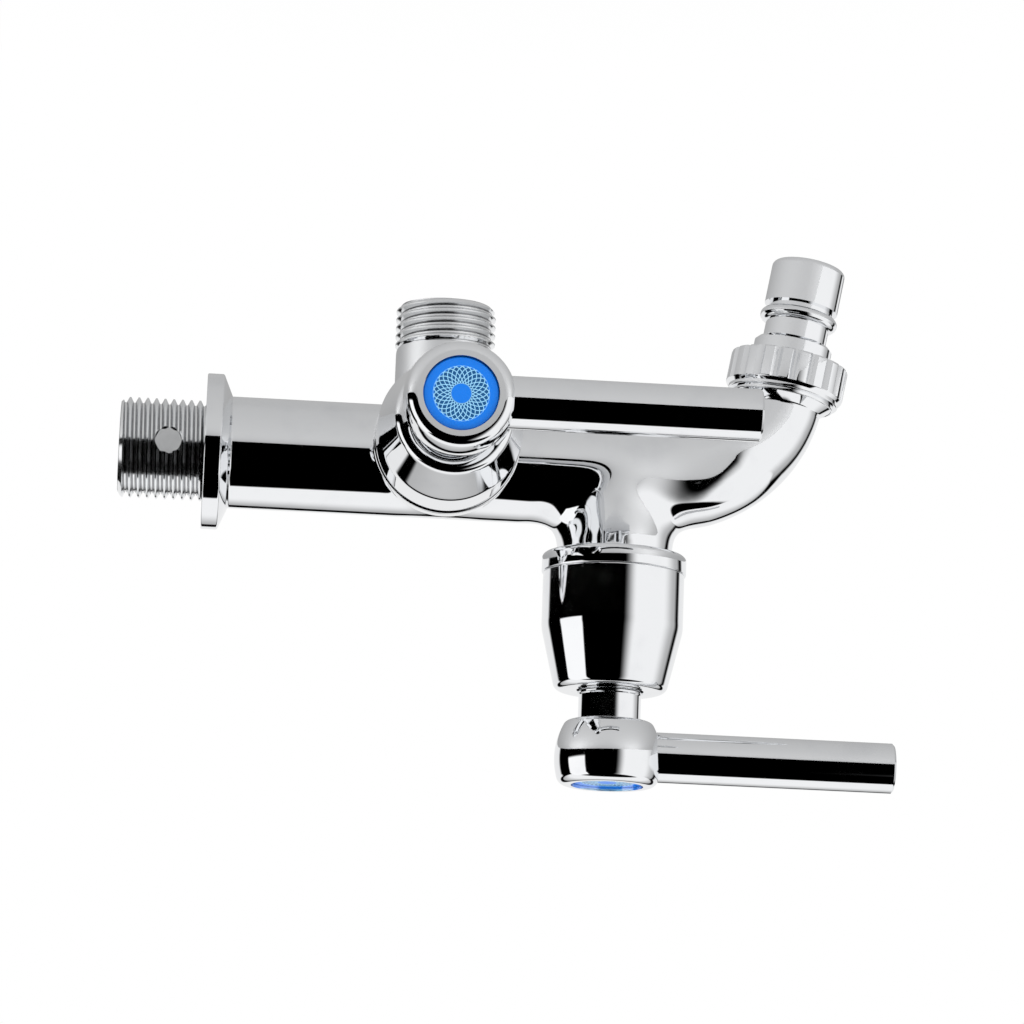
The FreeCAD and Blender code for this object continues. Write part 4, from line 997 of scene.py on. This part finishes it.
@dataclass
class TapCasting:
    """The branched brass casting: moulded skin, turned collars and cut threads.

    A blend is the span of distances from two surfaces over which their seam's softening fades in.
    """

    bend: SpoutBend = SpoutBend()
    pipe_radius: float = SpoutBend.pipe_radius
    collar_radius: float = 16.25
    collar_width: float = 3.45
    collar_cone: float = 1.95
    collar_wall: float = 2.0
    collar_sleeve: float = 0.3
    edge_rounding: float = 0.3
    inlet_length: float = 17.6
    bore_radius: float = BORE_RADIUS
    side_reach: float = SIDE_REACH
    top_reach: float = TOP_REACH
    boss_root_radius: float = 11.1
    boss_flush_radius: float = 11.76
    boss_front_swell: float = 0.35
    boss_neck_radius: float = 12.2
    boss_shoulder: float = 17.3
    boss_rim_radius: float = 15.1
    boss_face: float = 21.9
    collar_foot: float = 17.9
    collar_foot_round: float = 1.0
    spigot_radius: float = 12.6
    spigot_top: float = 25.9
    chamber_radius: float = 9.3
    chamber_wall: float = 1.0
    outlet_neck_radius: float = 10.2775
    outlet_thread_start: float = 24.4
    outlet_thread_length: float = 9.0
    outlet_bore_top: float = 10.5
    spot_radius: float = 2.75
    spot_reach: float = 7.5
    spot_floor: float = 8.8775
    spot_tool_top: float = 14.0
    spout_bore: float = 5.5
    spout_end_half: float = 3.2
    spout_end_chamfer: float = 1.0
    flare_neck_radius: float = 8.3
    flare_foot: float = -2.6
    flare_foot_round: float = 0.4
    flare_top: float = -0.9
    mouth_gap: float = 0.05
    mouth_depth: float = 4.0
    mouth_spread: float = 2.0
    outlet_lap: float = 0.02
    pipe_lip: float = 1.4
    boss_lip: float = 1.5
    spout_cut: float = 2.7
    pipe_bore_depth: float = 80.0
    bare_reach: float = 95.0
    bare_slack: float = 0.4
    skin_grain: float = 0.5
    web_flat: float = 4.6
    web_half_width: float = 9.7
    web_draft: float = 0.03
    flat_floor: float = -2.0
    flat_start: Span = (0.0, 5.0)
    flat_end: Span = (15.0, 50.0)
    narrow_start: Span = (0.0, 14.0)
    narrow_top: Span = (12.0, 5.0)
    web_start: Span = (0.0, 8.0)
    web_flank: Span = (2.0, 7.0)
    web_floor: float = -4.0
    web_blend: Span = (12.0, 6.0)
    top_floor: float = -7.0
    top_blend: Span = (9.0, 3.0)
    small_reach: float = 4.0
    small_blend: Span = (4.0, 1.0)
    small_share: float = 0.3
    plain_fall: float = 2.5
    smooth_factor: float = 0.5
    every_rounds: int = 12
    seam_rounds: int = 160
    web_rounds: int = 60

    def build(self, finishes: Finishes) -> None:
        """Model the casting and its threads and dress them.

        Args:
            finishes: the tap's finishes.
        """
        skin = self._skin()
        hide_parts("tap_body")
        fix_chrome(skin, finishes.cast, finishes.brass)
        self._bare_the_bores(skin)
        side = Matrix.Translation((0, -self.side_reach, 0)) @ Matrix.Rotation(math.pi / 2, 4, "Y")
        top = Matrix.Translation((0, -self.top_reach, 0))
        fix_chrome(self._wall_collar(), finishes.turned)
        fix_chrome(self._boss_collar("side", side), finishes.turned)
        fix_chrome(self._boss_collar("top", top), finishes.turned)
        fix_chrome(self._spout_end(), finishes.turned)
        fix_chrome(self._inlet_thread(), finishes.inlet_thread)
        fix_chrome(self._outlet_thread(), finishes.outlet_thread)

    def _openings(self) -> list[Opening]:
        """List the casting's five mouths."""
        back, out, up = Vector((0, 1, 0)), Vector((1, 0, 0)), Vector((0, 0, 1))
        shoulder = self.boss_shoulder - self.mouth_gap
        pipe = Vector((0, -self.collar_width - self.collar_cone - self.mouth_gap, 0))
        outlet = Vector((0, -self.side_reach, self.outlet_lap - self.outlet_thread_start))
        side = Vector((shoulder, -self.side_reach, 0))
        top = Vector((0, -self.top_reach, shoulder))
        spout = self.bend.end() - self.spout_cut * self.bend.way()
        bore = self.bore_radius
        outlet_depth = self.outlet_thread_start - self.outlet_bore_top
        return [
            Opening(pipe, back, self.pipe_radius, self.pipe_lip, bore, self.pipe_bore_depth),
            Opening(outlet, -up, self.outlet_neck_radius, 0.0, bore, outlet_depth),
            Opening(side, out, self.boss_neck_radius, self.boss_lip),
            Opening(top, up, self.boss_neck_radius, self.boss_lip),
            Opening(spout, self.bend.way(), self.bend.end_radius),
        ]

    def _skin(self) -> bpy.types.Object:
        """Take the outside of the drawn casting and soften its seams as moulding sand does.

        Returns:
            The skin, in its place.
        """
        source = frame["nodes"]["tap_body"]
        skin = bpy.data.objects.new("tap_casting", source.data.copy())
        bpy.context.scene.collection.objects.link(skin)
        Bench.pick(skin)
        bpy.ops.mesh.customdata_custom_splitnormals_clear()
        with Bench.editing(skin):
            bpy.ops.mesh.remove_doubles(threshold=2e-6)
            for opening in self._openings():
                self._cut_off(skin, opening)
            self._drop_inside(skin)
            for opening in self._openings():
                self._line(skin, opening)
        grain = self.skin_grain * MM
        Bench.modify(skin, "REMESH", mode="VOXEL", voxel_size=grain, use_smooth_shade=True)
        self._soften(skin, source)
        return skin

    def _cut_off(self, skin: bpy.types.Object, opening: Opening) -> None:
        """Remove what stands past one mouth.

        Args:
            skin: the casting's skin, in edit mode.
            opening: the mouth.
        """
        place = opening.place * MM
        with Bench.selecting(skin) as shape:
            for vertex in shape.verts:
                away = vertex.co - place
                along = away.dot(opening.facing)
                aside = (away - opening.facing * along).length
                if along > -self.mouth_depth * MM and aside < self.mouth_spread * opening.radius * MM:
                    for face in vertex.link_faces:
                        face.select_set(True)
        bpy.ops.mesh.bisect(
            plane_co=place, plane_no=opening.facing, clear_outer=True, threshold=1e-7
        )

    @staticmethod
    def _drop_inside(skin: bpy.types.Object) -> None:
        """Keep only the outside, which holds the vertex furthest back."""
        with Bench.selecting(skin) as shape:
            min(shape.verts, key=lambda vertex: vertex.co.x).select_set(True)
        bpy.ops.mesh.select_linked()
        bpy.ops.mesh.select_all(action="INVERT")
        bpy.ops.mesh.delete(type="VERT")

    def _line(self, skin: bpy.types.Object, opening: Opening) -> None:
        """Run one mouth's edge out below its collar, then in and down its bore, and close it.

        Args:
            skin: the casting's skin, in edit mode.
            opening: the mouth.
        """
        place = opening.place * MM
        spread = self.mouth_spread * opening.radius * MM
        with Bench.selecting(skin) as shape:
            for edge in shape.edges:
                aways = [vertex.co - place for vertex in edge.verts]
                near = all(away.length < spread for away in aways)
                level = max(abs(away.dot(opening.facing)) for away in aways) < 1e-5
                if edge.is_boundary and near and level:
                    edge.select_set(True)
        if opening.lip:
            step = opening.facing * opening.lip * MM
            bpy.ops.mesh.extrude_edges_move(TRANSFORM_OT_translate={"value": step})
        if opening.bore_depth:
            share = opening.bore_radius / opening.radius
            shrink = [1.0 if abs(part) > 0.5 else share for part in opening.facing]
            middle = place + opening.facing * opening.lip * MM
            bpy.ops.mesh.extrude_edges_move()
            bpy.ops.transform.resize(value=shrink, center_override=middle)
            step = -opening.facing * opening.bore_depth * MM
            bpy.ops.mesh.extrude_edges_move(TRANSFORM_OT_translate={"value": step})
        bpy.ops.mesh.edge_face_add()

    def _soften(self, skin: bpy.types.Object, source: bpy.types.Object) -> None:
        """Smooth the skin where bosses meet the pipe, and shade the rest as it is drawn.

        Args:
            skin: the casting's skin, in object mode.
            source: the drawn casting.
        """
        self._fill_root(skin)
        self._flatten_web(skin)
        rounds = {"every": self.every_rounds, "seams": self.seam_rounds, "web": self.web_rounds}
        groups = {name: skin.vertex_groups.new(name=name) for name in (*rounds, "plain")}
        for vertex in skin.data.vertices:
            point = vertex.co / MM
            shares = {"every": 1.0, "seams": self._seam_share(point), "web": self._web_share(point)}
            moulded = max(shares["seams"], shares["web"], self._flat_share(point))
            shares["plain"] = 1 - min(1.0, self.plain_fall * moulded)
            for name, share in shares.items():
                groups[name].add([vertex.index], share, "REPLACE")
        for name, count in rounds.items():
            Bench.modify(
                skin, "SMOOTH", factor=self.smooth_factor, iterations=count, vertex_group=name
            )
        bpy.ops.object.shade_smooth()
        Bench.modify(
            skin,
            "DATA_TRANSFER",
            object=source,
            use_loop_data=True,
            data_types_loops={"CUSTOM_NORMAL"},
            loop_mapping="POLYINTERP_NEAREST",
            vertex_group="plain",
        )

    def _top_radius(self, height: float) -> float:
        """Give the upper boss's radius at a height above the pipe axis."""
        swell = (self.boss_neck_radius - self.boss_flush_radius) / self.boss_shoulder
        return self.boss_flush_radius + swell * height

    def _fill_root(self, skin: bpy.types.Object) -> None:
        """Let the upper boss run flush out of the pipe's flanks, with no hollow between them."""
        inside = self.chamber_radius + self.chamber_wall
        for vertex in skin.data.vertices:
            point = vertex.co / MM
            along = point.y + self.top_reach
            away = math.hypot(point.x, along)
            front = (point.x / away) ** 2 if away else 0.0
            swell = self.boss_front_swell * front * point.z / self.boss_shoulder
            wanted = self._top_radius(point.z) + swell
            if 0 < point.z < self.boss_shoulder - self.chamber_wall and inside < away < wanted:
                grow = wanted / away
                vertex.co = Vector((point.x * grow, along * grow - self.top_reach, point.z)) * MM

    def _flat_share(self, point: Vector) -> float:
        """Say how far a point lies along the flat flank from the upper boss into the bend."""
        _, out, turn = self.bend.measure(point)
        if out < self.flat_floor:
            return 0.0
        return ease(-self.top_reach - point.y, self.flat_start) * (1 - ease(turn, self.flat_end))

    def _flatten_web(self, skin: bpy.types.Object) -> None:
        """Fill the flanks between the upper boss and the bend to the flat web of the casting."""
        wall = self.chamber_wall
        for vertex in skin.data.vertices:
            point = vertex.co / MM
            radius, out, _ = self.bend.measure(point)
            flat = self.web_flat * self._flat_share(point)
            in_boss = math.hypot(point.x, point.y + self.top_reach) < self.chamber_radius + wall
            if in_boss or math.hypot(point.x, out) < radius - wall:
                continue
            if flat and 0 < out < radius:
                rolled = max(0.0, out - flat) / (radius - flat)
                full = radius * math.sqrt(1 - rolled * rolled) + self.web_draft * min(out, flat)
                if abs(point.x) < full:
                    vertex.co.x = math.copysign(full, point.x) * MM
            slimming = ease(-self.top_reach - point.y, self.narrow_start)
            width = self.pipe_radius - (self.pipe_radius - self.web_half_width) * slimming
            vertex.co.x *= 1 - ease(point.z, self.narrow_top) * max(0.0, 1 - width / radius)

    def _web_share(self, point: Vector) -> float:
        """Say how far a point belongs to the full web between the upper boss and the spout."""
        ahead = ease(-self.top_reach - point.y, self.web_start)
        flank = ease(abs(point.x), self.web_flank)
        if point.z < self.web_floor or not ahead * flank:
            return 0.0
        pipe = math.hypot(point.x, point.z) - self.pipe_radius
        top = math.hypot(point.x, point.y + self.top_reach) - self._top_radius(point.z)
        return ahead * flank * ease(max(abs(pipe), abs(top)), self.web_blend)

    def _seam_share(self, point: Vector) -> float:
        """Say how far a point of the skin belongs to a moulded seam.

        Args:
            point: a place in millimetres.

        Returns:
            The share, from 0 to 1.
        """
        swell = (self.boss_neck_radius - self.boss_root_radius) / self.boss_shoulder
        across = point.y + self.side_reach
        pipe = abs(math.hypot(point.x, point.z) - self.pipe_radius)
        top = abs(math.hypot(point.x, point.y + self.top_reach) - self._top_radius(point.z))
        side = abs(math.hypot(across, point.z) - self.boss_root_radius - swell * point.x)
        outlet = abs(math.hypot(point.x, across) - self.outlet_neck_radius)
        shares = [0.0]
        if point.z > self.top_floor:
            shares.append(ease(max(pipe, top), self.top_blend))
        if point.x > -self.small_reach:
            shares.append(self.small_share * ease(max(pipe, side), self.small_blend))
        if point.z < self.small_reach:
            near_outlet = max(outlet, min(pipe, side))
            shares.append(self.small_share * ease(near_outlet, self.small_blend))
        return max(shares)

    def _bare_the_bores(self, skin: bpy.types.Object) -> None:
        """Leave the walls of the two waterways unplated."""
        limit = self.bore_radius + self.bare_slack
        for face in skin.data.polygons:
            middle = face.center / MM
            in_pipe = math.hypot(middle.x, middle.z) < limit and middle.y > -self.bare_reach
            in_outlet = math.hypot(middle.x, middle.y + self.side_reach) < limit and middle.z < 0
            face.material_index = 1 if in_pipe or in_outlet else 0

    def _wall_collar(self) -> bpy.types.Object:
        """Turn the collar that stops against the wall."""
        foot = self.collar_width + self.collar_cone
        sleeve = self.pipe_radius - self.collar_sleeve
        corners = [
            Corner(self.bore_radius, 0.0),
            Corner(self.collar_radius, 0.0, self.edge_rounding),
            Corner(self.collar_radius, self.collar_width, self.edge_rounding),
            Corner(self.pipe_radius, foot),
            Corner(sleeve, foot),
            Corner(sleeve, self.collar_wall),
            Corner(self.bore_radius, self.collar_wall),
            Corner(self.bore_radius, 0.0),
        ]
        piece = Bench.turn("wall_collar", corners)
        return Bench.seat(piece, Matrix.Rotation(math.pi / 2, 4, "X"))

    def _boss_collar(self, label: str, seating: Matrix) -> bpy.types.Object:
        """Turn the round-shouldered collar of one boss, with the spigot for its bell.

        Args:
            label: the valve's label.
            seating: the valve's place.

        Returns:
            The collar, in its place.
        """
        corners = [
            Corner(self.chamber_radius, self.collar_foot),
            Corner(self.boss_rim_radius, self.collar_foot, self.collar_foot_round),
            Corner(self.boss_rim_radius, self.boss_face, self.edge_rounding),
            Corner(self.spigot_radius, self.boss_face),
            Corner(self.spigot_radius, self.spigot_top),
            Corner(self.chamber_radius, self.spigot_top),
            Corner(self.chamber_radius, self.collar_foot),
        ]
        return Bench.seat(Bench.turn(f"{label}_boss_collar", corners), seating)

    def _spout_end(self) -> bpy.types.Object:
        """Turn the flared end of the spout that carries the nut."""
        low, high = -self.spout_end_half, self.spout_end_half
        corners = [
            Corner(self.spout_bore, low),
            Corner(self.flare_neck_radius, low),
            Corner(self.flare_neck_radius, self.flare_foot, self.flare_foot_round),
            Corner(THREAD_RADIUS, self.flare_top),
            Corner(THREAD_RADIUS, high - self.spout_end_chamfer),
            Corner(THREAD_RADIUS - self.spout_end_chamfer, high),
            Corner(self.spout_bore, high),
            Corner(self.spout_bore, low),
        ]
        return Bench.seat(Bench.turn("spout_end", corners), self.bend.seat())

    def _inlet_thread(self) -> bpy.types.Object:
        """Cut the inlet's thread with the flat round spot on its side."""
        thread = PipeThread("inlet_thread", self.inlet_length)
        piece = thread.build()
        corners = [
            Corner(0.0, self.spot_floor),
            Corner(self.spot_radius, self.spot_floor),
            Corner(self.spot_radius, self.spot_tool_top),
            Corner(0.0, self.spot_tool_top),
        ]
        spot = Bench.turn("spot_tool", corners, steps=48)
        lifted = Matrix.Translation((0, 0, self.spot_reach))
        spot.matrix_world = lifted @ Matrix.Rotation(math.pi / 2, 4, "Y")
        Bench.join_solids(piece, spot, "DIFFERENCE")
        Bench.close_up(piece, thread.smooth_angle)
        return Bench.seat(piece, Matrix.Rotation(-math.pi / 2, 4, "X"))

    def _outlet_thread(self) -> bpy.types.Object:
        """Cut the lower outlet's thread."""
        piece = PipeThread("outlet_thread", self.outlet_thread_length).build()
        place = Matrix.Translation((0, -self.side_reach, -self.outlet_thread_start))
        return Bench.seat(piece, place @ Matrix.Rotation(math.pi, 4, "X"))


@dataclass
class LeverValve:
    """One quarter-turn valve with its bell, hub, lever, blue cap and sealed works."""

    facing: Facing
    reach: float
    cap_height: float = 65.7
    bell_radius: float = 14.75
    bell_foot: float = TapCasting.boss_face
    bell_foot_round: float = 0.15
    bell_foot_land: float = 0.3
    bell_shoulder: float = 33.6
    bell_shoulder_round: float = 0.9
    bell_shoulder_land: float = 1.4
    bell_top_radius: float = 11.65
    bell_top: float = 46.6
    bell_top_round: float = 1.2
    bell_top_land: float = 1.6
    bell_opening: float = 6.95
    bell_opening_round: float = 0.2
    bell_thread: float = 12.65
    bell_wall: float = 1.5
    bell_roof: float = 2.0
    spigot_top: float = TapCasting.spigot_top

    def build(self, finishes: Finishes) -> None:
        """Dress the valve's pieces.

        Args:
            finishes: the tap's finishes.
        """
        label = self.facing.value[0]
        out, up = (self.cap_height, 0.0) if self.facing is Facing.SIDE else (0.0, self.cap_height)
        bell = self._bell(label)
        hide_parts(f"{label}_bell_cover")
        fix_chrome(bell, finishes.turned)
        wear = {
            "handle_hub": finishes.turned,
            "lever_rod": finishes.turned,
            "index_cap": BlueCapPrint(self.facing, (out, -self.reach, up)).material(),
            "cartridge_body": finishes.brass,
            "spindle": finishes.brass,
            "cartridge_seal": finishes.rubber,
            "seat_gasket": finishes.rubber,
            "spindle_oring": finishes.rubber,
            "fixed_disc": finishes.ceramic,
            "moving_disc": finishes.ceramic,
            "spindle_clip": finishes.steel,
            "handle_screw": finishes.steel,
        }
        for piece, material in wear.items():
            show_node(f"{label}_{piece}", material)

    def _bell(self, label: str) -> bpy.types.Object:
        """Turn the bell cover, with a soft shoulder and a small round at its edge.

        Args:
            label: the valve's label.

        Returns:
            The bell, in its place.
        """
        radius, tip = self.bell_radius, self.bell_top_radius
        inside = radius - self.bell_wall
        roof = self.bell_top - self.bell_roof
        shoulder, land = self.bell_shoulder, self.bell_shoulder_land
        slope = (radius - tip) / (self.bell_top - shoulder)
        corners = [
            Corner(self.bell_thread, self.bell_foot),
            Corner(radius, self.bell_foot, self.bell_foot_round),
            Corner(radius, self.bell_foot + self.bell_foot_land),
            Corner(radius, shoulder - land),
            Corner(radius, shoulder, self.bell_shoulder_round),
            Corner(radius - slope * land, shoulder + land),
            Corner(tip + slope * self.bell_top_land, self.bell_top - self.bell_top_land),
            Corner(tip, self.bell_top, self.bell_top_round),
            Corner(self.bell_opening, self.bell_top, self.bell_opening_round),
            Corner(self.bell_opening, roof),
            Corner(tip - self.bell_wall, roof),
            Corner(inside, shoulder),
            Corner(inside, self.spigot_top),
            Corner(self.bell_thread, self.spigot_top),
            Corner(self.bell_thread, self.bell_foot),
        ]
        seat = Matrix.Translation((0, -self.reach, 0))
        if self.facing is Facing.SIDE:
            seat = seat @ Matrix.Rotation(math.pi / 2, 4, "Y")
        return Bench.seat(Bench.turn(f"{label}_bell", corners), seat)


@dataclass
class HoseNozzle:
    """The spout's end: ring nut, flat washer and quick-connect nipple."""

    bend: SpoutBend = SpoutBend()
    nut_radius: float = 12.4475
    nut_foot: float = -1.0
    nut_top: float = 8.0
    nut_top_round: float = 0.5
    thread_radius: float = 10.5275
    base_radius: float = 10.9275
    base_round: float = 0.2
    step_radius: float = 11.7475
    step_foot: float = -0.2
    step_top: float = 0.6
    step_round: float = 0.25
    mouth_radius: float = 8.3
    mouth_foot: float = 6.3
    mouth_round: float = 0.3
    rib_foot: float = 1.3
    rib_foot_round: float = 0.2
    rib_count: int = 20
    groove_half: float = 0.85
    groove_depth: float = 0.75
    groove_past: float = 1.0
    groove_floor_share: float = 0.12
    edge_width: float = 0.16
    edge_angle: float = 28.0
    smooth_angle: float = 35.0

    def build(self, finishes: Finishes) -> None:
        """Model the nut and dress the nozzle's pieces.

        Args:
            finishes: the tap's finishes.
        """
        nut = self._nut()
        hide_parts("coupling_nut")
        fix_chrome(nut, finishes.turned)
        show_node("hose_nipple", finishes.turned)
        show_node("nozzle_washer", finishes.rubber)

    def _nut(self) -> bpy.types.Object:
        """Turn the nut on its stepped base and cut its grooves.

        Returns:
            The nut, in its place.
        """
        corners = [
            Corner(self.thread_radius, self.nut_foot),
            Corner(self.base_radius, self.nut_foot, self.base_round),
            Corner(self.base_radius, self.step_foot),
            Corner(self.step_radius, self.step_foot, self.step_round),
            Corner(self.step_radius, self.step_top),
            Corner(self.nut_radius, self.rib_foot, self.rib_foot_round),
            Corner(self.nut_radius, self.nut_top, self.nut_top_round),
            Corner(self.mouth_radius, self.nut_top, self.mouth_round),
            Corner(self.mouth_radius, self.mouth_foot),
            Corner(self.thread_radius, self.mouth_foot),
            Corner(self.thread_radius, self.nut_foot),
        ]
        nut = Bench.turn("ribbed_nut", corners)
        Bench.join_solids(nut, self._grooves(), "DIFFERENCE")
        limit = math.radians(self.edge_angle)
        Bench.modify(
            nut, "BEVEL", width=self.edge_width, segments=2, limit_method="ANGLE", angle_limit=limit
        )
        return Bench.seat(Bench.close_up(nut, self.smooth_angle), self.bend.seat())

    def _grooves(self) -> bpy.types.Object:
        """Make one groove's wedge and copy it round the nut.

        Returns:
            All the wedges as one tool.
        """
        Bench.deselect()
        floor = self.nut_radius - self.groove_depth
        reach = self.groove_depth + self.groove_past
        width = 2 * self.groove_half * reach / self.groove_depth
        middle = (floor + reach / 2, 0.0, self.rib_foot + self.nut_top / 2)
        bpy.ops.mesh.primitive_cube_add(size=1.0)
        wedge = bpy.context.object
        with Bench.editing(wedge):
            bpy.ops.transform.resize(value=(reach, width, self.nut_top))
            bpy.ops.transform.translate(value=middle)
            with Bench.selecting(wedge) as shape:
                for vertex in shape.verts:
                    vertex.select_set(vertex.co.x < middle[0])
            narrow = (1.0, self.groove_floor_share, 1.0)
            bpy.ops.transform.resize(value=narrow, center_override=(floor, 0.0, 0.0))
        copies = [wedge]
        for index in range(1, self.rib_count):
            other = wedge.copy()
            other.data = wedge.data.copy()
            other.matrix_world = Matrix.Rotation(FULL_TURN * index / self.rib_count, 4, "Z")
            bpy.context.scene.collection.objects.link(other)
            copies.append(other)
        Bench.pick(wedge)
        for other in copies:
            other.select_set(True)
        bpy.ops.object.join()
        return wedge


def main() -> None:
    """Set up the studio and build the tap's pieces in order."""
    logging.basicConfig(level=logging.INFO, format="%(name)s: %(message)s")
    Bench.deselect()
    Studio().build()
    finishes = Finishes()
    TapCasting().build(finishes)
    LeverValve(Facing.SIDE, SIDE_REACH).build(finishes)
    LeverValve(Facing.TOP, TOP_REACH).build(finishes)
    HoseNozzle().build(finishes)
    Bench.deselect()


if __name__ == "__main__":
    main()
